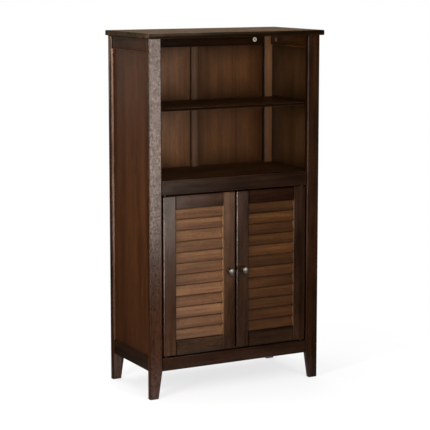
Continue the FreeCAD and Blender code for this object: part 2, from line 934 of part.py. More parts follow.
# Slats, numbered from the lowest
def makeSlat(side, number):
    label = "%s_door_slat_%02d" % (side, number + 1)
    inset = "(stile_width - slat_seat + slat_end_clearance)"
    length = "(" + door_width + " - 2 * " + inset + ")"
    height = "(" + door_bottom + " + door_bottom_rail_height + %d * " % number + slat_pitch + ")"
    slat = newPiece(label, (fromHinge(side, inset, length), carcass_front, height))
    section = newSketch(slat, label + "Section", "YZ_Plane")
    outline(section, slat_section)
    pad(slat, label + "Board", section, length)


# Knob, turned about the stud's axis: a neck and a head with a bevelled face
def makeKnob(side):
    label = side + "_knob"
    centre = "(" + door_width + " - stile_width / 2)"
    knob = newPiece(
        label,
        (fromHinge(side, centre, "0"), carcass_front, "(" + door_bottom + " + knob_height)"),
    )
    # Across the sketch lies the radius, up it the distance from the door.
    profile = newSketch(knob, label + "Profile", "XY_Plane")
    rim_end = "(knob_projection - knob_face_rise)"
    rim_start = "(" + rim_end + " - knob_rim_thickness)"
    outline(
        profile,
        [
            ("0", "0"),
            ("knob_neck_radius", "0"),
            ("knob_neck_radius", rim_start),
            ("knob_radius", rim_start),
            ("knob_radius", rim_end),
            ("knob_face_radius", "knob_projection"),
            ("0", "knob_projection"),
        ],
    )
    head = knob.newObject("PartDesign::Revolution", label + "Head")
    head.Profile = profile
    head.ReferenceAxis = (profile, ["V_Axis"])
    head.Angle = 360
    knob.Placement = Placement(knob.Placement.Base, Rotation(Vector(0, 0, 1), 180))
    stud = knob.newObject("PartDesign::AdditiveCylinder", label + "Stud")
    stud.Placement = Placement(Vector(), turns["-y"])
    bindSizes(stud, {"Radius": "knob_stud_radius", "Height": "knob_stud_length"})


# Strike plate on the back of the latch stile, before the catch
def makeStrikePlate(side):
    label = side + "_strike_plate"
    inset = "(" + door_width + " - strike_edge_inset - strike_width)"
    plate = newPiece(
        label,
        (
            fromHinge(side, inset, "strike_width"),
            "(" + carcass_front + " + door_thickness)",
            "(" + door_bottom + " + strike_lift)",
        ),
    )
    block(plate, label + "Sheet", ("strike_width", "strike_thickness", "strike_height"))


for side in ("left", "right"):
    makeStile(side, "hinge")
    makeStile(side, "latch")
    makeDoorRail(side, "top")
    makeDoorRail(side, "bottom")
    for number in range(sizes["slat_count"]):
        makeSlat(side, number)
    makeKnob(side)
    makeStrikePlate(side)

# Double magnetic catch on the cupboard's floor, one pole face behind each strike plate
catch = newPiece(
    "magnetic_catch",
    (
        "(0 - catch_length / 2)",
        "(" + carcass_front + " + door_thickness + strike_thickness + strike_gap)",
        floor_top,
    ),
)
block(catch, "CatchCase", ("catch_length", "catch_depth", "catch_height"))
bevelEdges(catch, "CatchEdges", "catch_groove / 2", longEdges("z"))
for number, place in enumerate(
    (
        "(catch_length / 2 - catch_groove / 2)",
        "(catch_length / 2 - catch_groove / 2 - catch_pole_width)",
        "(catch_length / 2 - catch_groove / 2 + catch_pole_width)",
    )
):
    block(
        catch,
        "CatchGroove%d" % number,
        ("catch_groove", "catch_groove", "catch_height"),
        (place, "0", "0"),
        cut=True,
    )

document.recompute()


# Fasteners are groups of separate solids, placed from the same values as their holes.
def value(alias):
    return float(sheet.get(alias))


def addGroup(label, solids):
    group = document.addObject("Part::Feature", label)
    group.Shape = Part.makeCompound(solids)
    group.Label = label
    pieces.append(group)


front_y = -(value("carcass_depth") + value("top_rear_overhang") - value("knob_projection")) / 2
half_width = value("carcass_width") / 2
leg_inside = half_width - value("leg_width")
before_rear_leg = front_y + value("carcass_depth") - value("leg_thickness")
underside_of_top = value("total_height") - value("top_thickness")


# Cam with its face at z = 0, its body along +z and its mouth towards +x, where the bolt
# comes in at mid-thickness of the rail
def camDisc():
    radius = value("cam_radius")
    cam = Part.makeCylinder(radius, value("cam_depth"))
    opening = value("bolt_radius") + value("joint_clearance")
    past = value("bolt_end") + value("joint_clearance")
    middle = value("rail_thickness") / 2
    mouth = Part.makeBox(
        radius + past, 2 * opening, 2 * opening, Vector(-past, -opening, middle - opening)
    )
    cam = cam.cut(mouth)
    length = value("cam_slot_length")
    width = value("cam_slot_width")
    corner = Vector(-length / 2, -width / 2, 0)
    return cam.cut(Part.makeBox(length, width, value("cam_slot_depth"), corner))


# A fitting in the rail under a point of the top panel's underside: the bolt comes down
# from the panel, and the cam lies in the rail's inner face.
def camFitting(x, y, into):
    bolt = Part.makeCylinder(
        value("bolt_radius"),
        value("bolt_seat") + value("cam_drop") + value("bolt_end"),
        Vector(x, y, underside_of_top - value("cam_drop") - value("bolt_end")),
    )
    depth_axis = turns[into].multVec(Vector(0, 0, 1))
    side_axis = depth_axis.cross(Vector(0, 0, 1))
    frame = FreeCAD.Matrix()
    frame.setCol(0, Vector(0, 0, 1))
    frame.setCol(1, side_axis)
    frame.setCol(2, depth_axis)
    cam = camDisc().transformed(frame)
    face = Vector(x, y, underside_of_top - value("cam_drop"))
    cam.translate(face - depth_axis * (value("rail_thickness") / 2))
    return [bolt, cam]


fittings = []
for sign, into in ((-1, "-x"), (1, "+x")):
    rail_middle = half_width - value("side_rail_inset") - value("rail_thickness") / 2
    fittings += camFitting(sign * rail_middle, before_rear_leg - value("cam_inset"), into)
    back_middle = before_rear_leg + value("back_rail_setback") + value("rail_thickness") / 2
    fittings += camFitting(sign * (leg_inside - value("cam_inset")), back_middle, "+y")
addGroup("cam_fittings", fittings)

# Shelf pins, in the legs under the loose shelf's corners
pin_length = value("pin_depth") + value("pin_projection")
pin_height = value("shelf_top_height") - value("shelf_thickness") - value("pin_radius")
pins = []
for sign in (-1, 1):
    pin_x = sign * (half_width - value("pin_inset"))
    for pin_start in (
        front_y + value("leg_thickness") - value("pin_depth"),
        before_rear_leg - value("pin_projection"),
    ):
        start = Vector(pin_x, pin_start, pin_height)
        pins.append(Part.makeCylinder(value("pin_radius"), pin_length, start, Vector(0, 1, 0)))
addGroup("shelf_pins", pins)

# Pivot pins, pressed into the rails below and above the doors. The doors turn on the
# lower pins' shoulders.
door_bottom_edge = value("rail_clearance") + value("front_bottom_rail_height") + value("door_gap")
door_top_edge = value("middle_rail_bottom") - value("door_gap")
in_door = value("pivot_depth") - value("pivot_clearance")
pivot_x = leg_inside - value("door_side_gap") - value("pivot_inset")
pivot_y = front_y + value("door_thickness") / 2
foot_bottom = door_bottom_edge - value("door_gap") - value("pivot_depth")
foot_length = value("pivot_depth") + value("door_gap") - value("pivot_lift")
tip_length = foot_length + value("pivot_lift") + in_door
pivots = []
for sign in (-1, 1):
    foot_start = Vector(sign * pivot_x, pivot_y, foot_bottom)
    foot = Part.makeCylinder(value("pivot_foot_radius"), foot_length, foot_start)
    tip = Part.makeCylinder(value("pivot_radius"), tip_length, foot_start)
    pivots.append(foot.fuse(tip))
    upper_start = Vector(sign * pivot_x, pivot_y, door_top_edge - in_door)
    upper_length = in_door + value("door_gap") + value("pivot_depth")
    pivots.append(Part.makeCylinder(value("pivot_radius"), upper_length, upper_start))
addGroup("pivot_pins", pivots)

document.recompute()

# Every object has to be sound before anything is written.
for feature in document.Objects:
    if "Invalid" in feature.State or "Error" in feature.State:
        raise RuntimeError("failed: " + feature.Name)
for piece in pieces:
    if piece.Shape.isNull() or not piece.Shape.isValid() or not piece.Shape.Solids:
        raise RuntimeError("bad shape: " + piece.Label)

os.makedirs("parts", exist_ok=True)
for piece in pieces:
    piece.Shape.exportStep("parts/" + piece.Label + ".step")
    box = piece.Shape.BoundBox
    print(
        "%-28s %2d solids  x %7.1f %7.1f  y %7.1f %7.1f  z %7.1f %7.1f"
        % (
            piece.Label,
            len(piece.Shape.Solids),
            box.XMin,
            box.XMax,
            box.YMin,
            box.YMax,
            box.ZMin,
            box.ZMax,
        )
    )
print(len(pieces), "pieces written")
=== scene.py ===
import math
import random
import bmesh
import bpy
from mathutils import Euler, Matrix, Vector


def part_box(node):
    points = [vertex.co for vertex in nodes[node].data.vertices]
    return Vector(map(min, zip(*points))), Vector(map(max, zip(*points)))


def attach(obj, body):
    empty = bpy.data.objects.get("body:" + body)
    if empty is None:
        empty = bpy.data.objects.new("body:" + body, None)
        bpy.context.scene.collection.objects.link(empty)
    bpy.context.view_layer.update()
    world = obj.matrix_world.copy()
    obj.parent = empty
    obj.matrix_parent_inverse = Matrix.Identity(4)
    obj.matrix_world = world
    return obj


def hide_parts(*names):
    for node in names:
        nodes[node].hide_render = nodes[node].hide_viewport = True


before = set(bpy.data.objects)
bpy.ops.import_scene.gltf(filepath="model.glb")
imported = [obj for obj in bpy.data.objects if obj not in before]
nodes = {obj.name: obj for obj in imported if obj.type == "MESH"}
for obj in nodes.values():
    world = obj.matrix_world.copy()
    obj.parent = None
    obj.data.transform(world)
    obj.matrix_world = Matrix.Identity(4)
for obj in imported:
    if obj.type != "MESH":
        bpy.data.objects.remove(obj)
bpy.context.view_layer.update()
print("frame loaded:", len(nodes), "nodes")

axisNumber = {"x": 0, "y": 1, "z": 2}
mergeDistance = 0.00001  # metres, between corners of a CAD node's triangles that are one corner


def unitVector(axis):
    return Vector([1.0 if other == axis else 0.0 for other in axisNumber])


# Node trees. A Wire is an output socket that does arithmetic.
class Wire:
    def __init__(self, tree, socket):
        self.tree = tree
        self.socket = socket

    def __add__(self, other):
        return self.tree.math("ADD", self, other)

    def __radd__(self, other):
        return self.tree.math("ADD", other, self)

    def __sub__(self, other):
        return self.tree.math("SUBTRACT", self, other)

    def __rsub__(self, other):
        return self.tree.math("SUBTRACT", other, self)

    def __mul__(self, other):
        return self.tree.math("MULTIPLY", self, other)

    def __rmul__(self, other):
        return self.tree.math("MULTIPLY", other, self)


def setStops(ramp, stops):
    while len(ramp.elements) < len(stops):
        ramp.elements.new(0.5)
    for element, (place, colour) in zip(ramp.elements, stops):
        element.position = place
        element.color = (*colour, 1.0)


class Tree:
    def __init__(self, nodeTree):
        self.nodeTree = nodeTree

    def node(self, kind, settings=None, sockets=None, output=0):
        made = self.nodeTree.nodes.new(kind)
        for name, value in (settings or {}).items():
            if name == "stops":
                setStops(made.color_ramp, value)
            else:
                setattr(made, name, value)
        for key, value in (sockets or {}).items():
            if isinstance(value, Wire):
                self.nodeTree.links.new(value.socket, made.inputs[key])
            else:
                made.inputs[key].default_value = value
        return Wire(self, made.outputs[output]) if made.outputs else None

    def math(self, operation, first, second):
        return self.node("ShaderNodeMath", {"operation": operation}, {0: first, 1: second})

    def vectorMath(self, operation, *vectors):
        return self.node("ShaderNodeVectorMath", {"operation": operation}, dict(enumerate(vectors)))

    def attribute(self, name, output="Vector"):
        return self.node("ShaderNodeAttribute", {"attribute_name": name}, {}, output)

    def noise(self, vector, scale, detail, roughness):
        return self.node(
            "ShaderNodeTexNoise",
            {},
            {"Vector": vector, "Scale": scale, "Detail": detail, "Roughness": roughness},
        )

    def ramp(self, value, stops):
        return self.node("ShaderNodeValToRGB", {"stops": stops}, {"Fac": value})

    def remap(self, value, fromLow, fromHigh, toLow, toHigh):
        return self.node(
            "ShaderNodeMapRange",
            {"clamp": True},
            {"Value": value, "From Min": fromLow, "From Max": fromHigh, "To Min": toLow,
             "To Max": toHigh},
        )

    # A factor that departs from 1 by up to the spread, as the value goes from low to high
    def vary(self, value, low, high, spread):
        return self.remap(value, low, high, 1.0 - spread, 1.0 + spread)

    def mixColour(self, factor, *colours):
        first, second = [
            colour if isinstance(colour, Wire) else (*colour, 1.0) for colour in colours
        ]
        return self.node(
            "ShaderNodeMix", {"data_type": "RGBA"}, {0: factor, 6: first, 7: second}, 2
        )


def newMaterial(name):
    material = bpy.data.materials.new(name)
    material.use_nodes = True
    material.node_tree.nodes.clear()
    return material, Tree(material.node_tree)


def finishMaterial(material, tree, sockets):
    shader = tree.node("ShaderNodeBsdfPrincipled", {}, sockets)
    tree.node("ShaderNodeOutputMaterial", {}, {"Surface": shader})
    return material


# Wood. Each board carries a "grain" attribute: x runs along its fibres, y and z across,
# in metres, shifted by its own amount so that no two boards show the same figure.
woodLook = {
    "darkWood": {
        "dark": (0.0085, 0.0029, 0.0010),
        "middle": (0.0195, 0.0072, 0.0024),
        "light": (0.042, 0.0165, 0.0060),
        "roughness": (0.36, 0.50),
        "specular": 0.015,
        "coatRoughness": 0.22,
        # rimShade is the share of its colour that the wood keeps at a board's edges and along the
        # frame round a panel's bay: partly a darker stain at the rims, partly painted shade. dullRim
        # dulls the gloss there too, painted shade on the reflection.
        "rimShade": 0.45,  # share of its colour that the wood keeps at a board's edges
        "rimWidth": 0.008,
        "dullRim": False,  # True dulls the gloss there as much
        "fleck": 0.14,  # how far small flecks and broad patches depart from the colour
        "mottle": 0.34,
        "grainDepth": 0.0010,
    },
    "panelWood": {
        "dark": (0.026, 0.0100, 0.0034),
        "middle": (0.046, 0.0185, 0.0068),
        "light": (0.070, 0.030, 0.0115),
        "roughness": (0.38, 0.52),
        "specular": 0.04,
        "coatRoughness": 0.36,
        "rimShade": 0.3,
        "rimWidth": 0.065,
        "dullRim": True,
        "fleck": 0.03,
        "mottle": 0.12,
        "grainDepth": 0.0005,
    },
    "slatWood": {
        "dark": (0.030, 0.0115, 0.0040),
        "middle": (0.076, 0.032, 0.0120),
        "light": (0.150, 0.068, 0.0290),
        "roughness": (0.34, 0.48),
        "specular": 0.06,
        "coatRoughness": 0.32,
        "rimShade": 1.0,
        "rimWidth": 0.01,
        "dullRim": False,
        "fleck": 0.10,
        "mottle": 0.12,
        "grainDepth": 0.0007,
    },
}
woodLook["satinWood"] = {
    **woodLook["darkWood"],
    "specular": 0.03,
    "coatIor": 1.76,
    "fleck": 0.4,
    "mottle": 0.1,
}
woodLook["sidePanelWood"] = {**woodLook["panelWood"], "rimShade": 0.65}

# The layers of the figure: features per metre along the fibres and across them, and the
# noise's detail and roughness
figureLayers = {
    "bend": (1.6, 9.0, 2.0, 0.5),
    "broad": (1.1, 34.0, 3.0, 0.55),
    "fine": (3.2, 170.0, 4.0, 0.6),
    "fibre": (14.0, 420.0, 2.0, 0.5),
    "pores": (60.0, 900.0, 2.0, 0.5),
    "fleck": (190.0, 150.0, 2.0, 0.7),
    "cloud": (2.0, 5.0, 1.0, 0.5),
    "blotch": (7.0, 24.0, 2.0, 0.6),
}

# How the layers come together
figureLook = {
    "wander": (0.03, 0.02),  # metres that the fibres stray, in y and in z
    "poreRange": (0.55, 0.66),  # of its noise, from where a pore begins to where it is deepest
    "fleckRange": (0.36, 0.64),
    "blotchRange": (0.3, 0.7),
    "broadShare": 0.5,
    "fineShare": 0.35,
    "cloudShare": 0.25,
    "shift": -0.05,
    "stops": (0.33, 0.5, 0.7),  # where the wood is dark, middle and light
    "poreShade": 0.5,
    "poreDullness": 0.4,
    "poreRoughness": 0.3,
    "roughnessRange": (0.3, 0.9),
    "fibreRelief": 0.8,
    "fineRelief": 0.3,
    "poreRelief": 0.2,
    "rimPower": 0.5,
}


def figureLayer(tree, place, layer):
    along, across, detail, roughness = figureLayers[layer]
    stretched = tree.vectorMath("MULTIPLY", place, (along, across, across))
    return tree.noise(stretched, 1.0, detail, roughness)


# Metres to the board's nearest edge, on any of its faces
def edgeDistance(tree):
    away = tree.vectorMath("ABSOLUTE", tree.attribute("fromMiddle"))
    inside = tree.vectorMath("SUBTRACT", tree.attribute("halfSize"), away)
    x, y, z = [tree.node("ShaderNodeSeparateXYZ", {}, {0: inside}, axis) for axis in "XYZ"]
    return tree.math("MINIMUM", tree.math("MINIMUM", x + y, y + z), x + z)


def woodMaterial(name):
    look = woodLook[name]
    figure = figureLook
    material, tree = newMaterial(name)
    grain = tree.attribute("grain")
    bend = figureLayer(tree, grain, "bend")
    stray = tree.node(
        "ShaderNodeCombineXYZ",
        {},
        {"Y": (bend - 0.5) * figure["wander"][0], "Z": bend * figure["wander"][1]},
    )
    bentGrain = tree.vectorMath("ADD", grain, stray)
    broad, fine, fibre, pores = [
        figureLayer(tree, bentGrain, layer) for layer in ("broad", "fine", "fibre", "pores")
    ]
    fleck, cloud, blotch = [
        figureLayer(tree, grain, layer) for layer in ("fleck", "cloud", "blotch")
    ]
    pore = tree.remap(pores, *figure["poreRange"], 0.0, 1.0)
    lightness = (
        broad * figure["broadShare"]
        + fine * figure["fineShare"]
        + cloud * figure["cloudShare"]
        + figure["shift"]
    )
    colours = (look["dark"], look["middle"], look["light"])
    colour = tree.ramp(lightness, list(zip(figure["stops"], colours)))
    colour = tree.mixColour(pore * figure["poreShade"], colour, look["dark"])
    mottle = tree.vary(blotch, *figure["blotchRange"], look["mottle"])
    speckle = tree.vary(fleck, *figure["fleckRange"], look["fleck"]) * mottle
    # Darker towards the edges and the frame: partly stain, partly painted shade
    rise = tree.remap(edgeDistance(tree), 0.0, look["rimWidth"], 0.0, 1.0)
    rise = tree.math("POWER", rise, figure["rimPower"])
    rim = rise * (1.0 - look["rimShade"]) + look["rimShade"]
    # Each board's colour factor: its stain with painted light and shade
    stainedAndLit = tree.vectorMath("MULTIPLY", colour, tree.attribute("tone"))
    gloss = tree.attribute("sheen", "Fac") * speckle * (1.0 - pore * figure["poreDullness"])
    relief = (
        fibre * figure["fibreRelief"] + fine * figure["fineRelief"] - pore * figure["poreRelief"]
    )
    roughness = tree.remap(
        fine + pore * figure["poreRoughness"], *figure["roughnessRange"], *look["roughness"]
    )
    return finishMaterial(
        material,
        tree,
        {
            "Base Color": tree.vectorMath("MULTIPLY", stainedAndLit, speckle * rim),
            "Roughness": roughness,
            "Normal": tree.node(
                "ShaderNodeBump",
                {},
                {"Strength": 1.0, "Distance": look["grainDepth"], "Height": relief},
            ),
            "Specular IOR Level": look["specular"],
            "Coat Weight": gloss * rim if look["dullRim"] else gloss,
            "Coat Roughness": look["coatRoughness"],
            "Coat IOR": look.get("coatIor", 1.5),
        },
    )


# Which wood each board is, how its colour departs from that wood's (red, green, blue) and how
# glossy it is. The colour factor is partly the board's own stain and partly painted light and
# shade: faces that lamps or the floor light are lighter, faces in shade darker. A part's entry
# holds factors for that colour, and the gloss, of that part alone.
# storeLook says which places belong to each part. A part that ends midway fades out.
usualBoard = {
    "wood": "darkWood", "tone": (1.0, 1.0, 1.0), "sheen": 0.3,
    # Painted highlight: rounded edges a little lighter
    "edge": ((1.2, 1.2, 1.2), 0.8),
}
boardLook = {
    "top_panel": {
        "tone": (3.0, 3.7, 3.4), "sheen": 0.0,
        # Painted light and shade: the left end greyer, the front face and rounded edges darker, the
        # front's left end lighter where a highlight falls
        "left": ((0.65, 0.9, 1.3), 0.0),
        "front": ((0.06, 0.055, 0.045), 0.02),
        "frontCorner": ((6.5, 9.5, 16.5), 0.02),
        "edge": ((0.2, 0.2, 0.15), 0.6),
    },
    "front_left_leg": {
        "wood": "satinWood", "tone": (1.4, 1.0, 0.5), "sheen": 0.53,
        "left": ((1.2, 1.5, 1.7), 0.05),
        "edge": ((1.2, 1.2, 1.2), 0.25),
    },
    "rear_left_leg": {
        "tone": (0.55, 0.4, 0.35), "sheen": 0.25,
        # Painted light: the front face lighter, most at its upper left, and the upper left face
        # lighter
        "front": ((2.2, 3.4, 5.4), 0.5),
        "frontCorner": ((13.0, 20.0, 33.0), 0.2),
        "upperLeft": ((3.6, 4.2, 5.0), 0.5),
        "edge": ((2.0, 2.0, 2.0), 0.15),
    },
    "front_right_leg": {
        "tone": (0.6, 0.5, 0.3), "sheen": 0.35,
        # Painted highlight: the rounded edges lighter
        "edge": ((1.7, 1.5, 1.5), 0.35),
    },
    "rear_right_leg": {
        "wood": "panelWood", "tone": (0.4, 0.4, 0.4), "sheen": 0.3,
        # Painted light: the front face lighter towards its top
        "upperFront": ((16.5, 19.0, 22.5), 1.0),
    },
    "back_centre_stile": {
        "wood": "panelWood", "tone": (3.2, 4.2, 6.6), "sheen": 0.2,
        # Painted shade: the left face nearly black
        "left": ((0.1, 0.1, 0.1), 0.0),
    },
    "back_panel": {
        "wood": "panelWood", "tone": (1.5, 1.4, 0.95), "sheen": 0.2,
        # Painted light: the left bay lighter, most towards its top
        "leftHalf": ((0.95, 0.95, 1.05), 0.25),
        "upperLeftHalf": ((1.7, 1.75, 1.7), 0.35),
    },
    "left_side_panel": {"wood": "sidePanelWood", "tone": (0.9, 0.75, 0.6), "sheen": 0.07},
    "right_side_panel": {"wood": "panelWood", "tone": (1.0, 1.1, 0.95), "sheen": 0.8},
    "back_top_rail": {"tone": (0.75, 0.75, 0.8), "sheen": 0.05},
    "left_top_side_rail": {
        "tone": (1.05, 1.05, 1.0), "sheen": 0.05,
        # Painted light: the rounded edges lighter, as where light from below falls
        "edge": ((8.0, 6.0, 5.0), 0.2),
    },
    "left_bottom_side_rail": {
        "tone": (0.65, 0.65, 0.65), "sheen": 0.1,
        "edge": ((1.2, 1.2, 1.2), 0.1),
    },
    "right_top_side_rail": {
        "tone": (1.35, 1.5, 1.4), "sheen": 0.65,
        # Painted light: the rounded edges lighter, as where light from below falls
        "edge": ((7.0, 5.5, 5.0), 0.2),
    },
    "adjustable_shelf": {
        "tone": (1.6, 1.8, 1.9), "sheen": 0.05,
        # Painted shade on the front face, painted highlight on the rounded edges
        "front": ((0.1, 0.1, 0.1), 0.0),
        "edge": ((1.4, 1.4, 1.4), 0.5),
    },
    "fixed_shelf": {"tone": (1.8, 2.1, 2.2), "sheen": 0.0},
    "front_middle_rail": {
        "tone": (0.55, 0.6, 0.75), "sheen": 0.15,
        # Painted highlight: the rounded edges lighter
        "edge": ((3.0, 3.0, 3.0), 1.0),
    },
    "front_bottom_rail": {"tone": (0.75, 0.7, 0.65), "sheen": 0.3},
    "left_door_top_rail": {"tone": (0.75, 0.7, 0.65), "sheen": 0.35},
    "left_door_bottom_rail": {"tone": (1.1, 1.2, 1.1), "sheen": 1.0},
    "left_door_hinge_stile": {
        "tone": (1.2, 1.25, 1.4), "sheen": 0.7,
        "edge": ((1.2, 1.2, 1.2), 1.0),
    },
    "left_door_latch_stile": {
        "tone": (0.9, 0.85, 0.7), "sheen": 0.85,
        # Painted light: the inner left face and the rounded edges golden, the upper front lighter
        "left": ((13.0, 20.0, 33.0), 0.0),
        "upperFront": ((1.9, 2.1, 2.3), 1.0),
        "edge": ((4.0, 5.0, 8.0), 0.25),
    },
    "left_door_slats": {
        "wood": "slatWood", "tone": (1.2, 1.3, 1.4), "sheen": 0.2,
        "edge": ((1.0, 1.0, 1.0), 0.15),
    },
    "right_door_top_rail": {"tone": (0.45, 0.4, 0.45), "sheen": 0.1},
    "right_door_bottom_rail": {"tone": (0.7, 0.75, 0.75), "sheen": 0.65},
    "right_door_hinge_stile": {
        "tone": (0.55, 0.55, 0.55), "sheen": 0.45,
        # Painted light: the inner left face and the rounded edges golden
        "left": ((10.0, 13.0, 17.0), 0.0),
        "edge": ((3.0, 4.0, 6.0), 0.2),
    },
    "right_door_latch_stile": {
        "tone": (0.6, 0.55, 0.4), "sheen": 0.85,
        "edge": ((1.2, 1.2, 1.2), 1.0),
    },
    "right_door_slats": {
        "wood": "slatWood", "tone": (0.5, 0.45, 0.3), "sheen": 0.06,
        "edge": ((1.0, 1.0, 1.0), 0.05),
    },
}


def lookOf(board):
    return {**usualBoard, **boardLook.get(board, {})}


# Metals and the catch's plastic, on Object coordinates
hardLook = {
    "satinNickel": {
        "colour": (0.20, 0.19, 0.175), "metallic": 1.0, "roughness": (0.38, 0.50), "scale": 900,
        "cleanFrom": -0.1515, "tarnishedFrom": -0.148,  # the frame's y
    },
    "castZinc": {
        "colour": (0.80, 0.79, 0.74), "metallic": 0.0, "roughness": (0.35, 0.5), "scale": 500,
    },
    # The same zinc made darker, for the cams in the side rails: painted shade
    "brownZinc": {
        "colour": (0.16, 0.115, 0.07), "metallic": 0.0, "roughness": (0.35, 0.5), "scale": 500,
    },
    "platedSteel": {
        "colour": (0.55, 0.55, 0.55), "metallic": 1.0, "roughness": (0.2, 0.4), "scale": 400,
    },
    "darkSteel": {
        "colour": (0.012, 0.010, 0.009), "metallic": 0.0, "roughness": (0.4, 0.6), "scale": 400,
    },
    "brownPlastic": {
        "colour": (0.045, 0.024, 0.014), "metallic": 0.0, "roughness": (0.4, 0.55), "scale": 700,
    },
}

# What all of them share
surfaceLook = {
    "gritNoise": (3.0, 0.6),  # detail and roughness
    "wearNoise": (60.0, 2.0, 0.5),  # scale, detail and roughness
    "gritShare": 0.5,
    "wearShare": 0.4,
    "wornShade": 0.72,  # of the colour
    "tarnishShade": 0.2,
    "gritRange": (0.3, 0.7),
    "reliefStrength": 0.08,
    "reliefDepth": 0.0003,
}


def hardMaterial(name):
    look = hardLook[name]
    material, tree = newMaterial(name)
    place = tree.node("ShaderNodeTexCoord", {}, {}, "Object")
    grit = tree.noise(place, look["scale"], *surfaceLook["gritNoise"])
    wear = tree.noise(place, *surfaceLook["wearNoise"])
    worn, darkened = [
        tuple(channel * surfaceLook[shade] for channel in look["colour"])
        for shade in ("wornShade", "tarnishShade")
    ]
    cover = grit * surfaceLook["gritShare"] + wear * surfaceLook["wearShare"]
    colour = tree.mixColour(cover, worn, look["colour"])
    # The knob's colour darkens towards the door, between the two y values in its look
    if "tarnishedFrom" in look:
        depth = tree.node("ShaderNodeSeparateXYZ", {}, {0: place}, "Y")
        darkening = tree.remap(depth, look["cleanFrom"], look["tarnishedFrom"], 0.0, 1.0)
        colour = tree.mixColour(darkening, colour, darkened)
    bump = tree.node(
        "ShaderNodeBump",
        {},
        {"Strength": surfaceLook["reliefStrength"], "Distance": surfaceLook["reliefDepth"],
         "Height": grit},
    )
    return finishMaterial(
        material,
        tree,
        {
            "Base Color": colour,
            "Metallic": look["metallic"],
            "Roughness": tree.remap(grit, *surfaceLook["gritRange"], *look["roughness"]),
            "Normal": bump,
        },
    )


materials = {name: woodMaterial(name) for name in woodLook}
materials.update({name: hardMaterial(name) for name in hardLook})
print("materials made:", len(materials))


# Meshes
def storeVectors(mesh, name, vectors):
    mesh.attributes.new(name, "FLOAT_VECTOR", "POINT")
    mesh.attributes[name].data.foreach_set("vector", [part for vector in vectors for part in vector])


def facesAround(mesh):
    around = [[] for _ in mesh.vertices]
    for face in mesh.polygons:
        for number in face.vertices:
            around[number].append(face)
    return around


# Normals weighted by area, so that a rounded edge leaves the flat faces beside it flat. Faces
# that turn by more than the limit, in degrees, don't smooth into each other.
def weightNormals(mesh, limit):
    around = facesAround(mesh)
    least = math.cos(math.radians(limit))
    normals = []
    for face in mesh.polygons:
        for number in face.vertices:
            total = Vector()
            for other in around[number]:
                if other.normal.dot(face.normal) > least:
                    total += other.normal * other.area
            normals.append(total.normalized())
    mesh.normals_split_custom_set(normals)


# The visible stretches of a board along each axis, where a frame covers the rest of it. A value
# belongs to the bay that holds it, or else to the nearest one.
def bayOf(value, bays):
    return min(bays, key=lambda bay: max(bay[0] - value, value - bay[1], 0.0))


# How storeLook and storeGrain read a board
boardRule = {
    "faceDepth": 0.0001,  # metres from a face, within which a place is on it
    "flatFrom": 0.94,  # the largest part of a normal, from which its place isn't on an edge
    "grainShift": 50,  # metres, at most
}
smoothUpTo = 30  # degrees between two faces


# Besides its colour, a stain with painted light and shade, and its gloss a board carries
# "fromMiddle" and "halfSize", which tell its wood how far any place is from the board's edges,
# or from the frame round its bay, towards which the wood darkens: partly stain, partly painted
# shade.
def storeLook(mesh, board, baysAt=None):
    look = lookOf(board)
    places = [vertex.co.copy() for vertex in mesh.vertices]
    low = Vector([min(place[axis] for place in places) for axis in range(3)])
    high = Vector([max(place[axis] for place in places) for axis in range(3)])
    around = facesAround(mesh)
    stainsAndLight, sheens, middles, halves = [], [], [], []
    for vertex, place in zip(mesh.vertices, places):
        bays = baysAt(place) if baysAt else {}
        ends = [
            bayOf(place[number], bays.get(axis, [(low[number], high[number])]))
            for axis, number in axisNumber.items()
        ]
        middles.append([place[axis] - sum(ends[axis]) / 2 for axis in range(3)])
        halves.append([(end - start) / 2 for start, end in ends])
        leaning = [face.normal * face.area for face in around[vertex.index]]
        normal = sum(leaning, Vector()).normalized()
        onFront = place.y < low.y + boardRule["faceDepth"]
        onLeft = place.x < low.x + boardRule["faceDepth"]
        inUpper = place.z > (low.z + high.z) / 2
        inLeft = place.x < (low.x + high.x) / 2
        # The parts, whose factors mostly paint light and shade onto a board's faces and edges
        parts = {
            "front": onFront,
            "upperFront": onFront and inUpper,
            "frontCorner": onFront and inUpper and inLeft,
            "upperLeft": onLeft and inUpper,
            "leftHalf": inLeft,
            "upperLeftHalf": inLeft and inUpper,
            "left": onLeft,
            "edge": max(abs(part) for part in normal) < boardRule["flatFrom"],
        }
        tone, sheen = look["tone"], look["sheen"]
        for part, holds in parts.items():
            if holds and part in look:
                tone = [channel * share for channel, share in zip(tone, look[part][0])]
                sheen = look[part][1]
        stainsAndLight.append(tone)
        sheens.append(sheen)
    storeVectors(mesh, "tone", stainsAndLight)
    storeVectors(mesh, "fromMiddle", middles)
    storeVectors(mesh, "halfSize", halves)
    mesh.attributes.new("sheen", "FLOAT", "POINT")
    mesh.attributes["sheen"].data.foreach_set("value", sheens)


def storeGrain(mesh, along, name, baysAt=None):
    storeLook(mesh, name.replace("wood_", ""), baysAt)
    chance = random.Random(name)
    shift = Vector([chance.uniform(0, boardRule["grainShift"]) for axis in range(3)])
    first = axisNumber[along]
    order = (first, (first + 1) % 3, (first + 2) % 3)
    grains = [
        Vector([vertex.co[number] for number in order]) + shift for vertex in mesh.vertices
    ]
    storeVectors(mesh, "grain", grains)


def addPiece(
    name, bm, body, material, along, stands, smoothAngle=smoothUpTo, baysAt=None
):
    mesh = bpy.data.meshes.new(name)
    bmesh.ops.recalc_face_normals(bm, faces=bm.faces)
    bm.to_mesh(mesh)
    bm.free()
    return placePiece(name, mesh, body, material, along, stands, smoothAngle, baysAt)


def addBoard(node, bm, body, along, baysAt=None):
    wood = materials[lookOf(node)["wood"]]
    addPiece("wood_" + node, bm, body, wood, along, (node,), baysAt=baysAt)


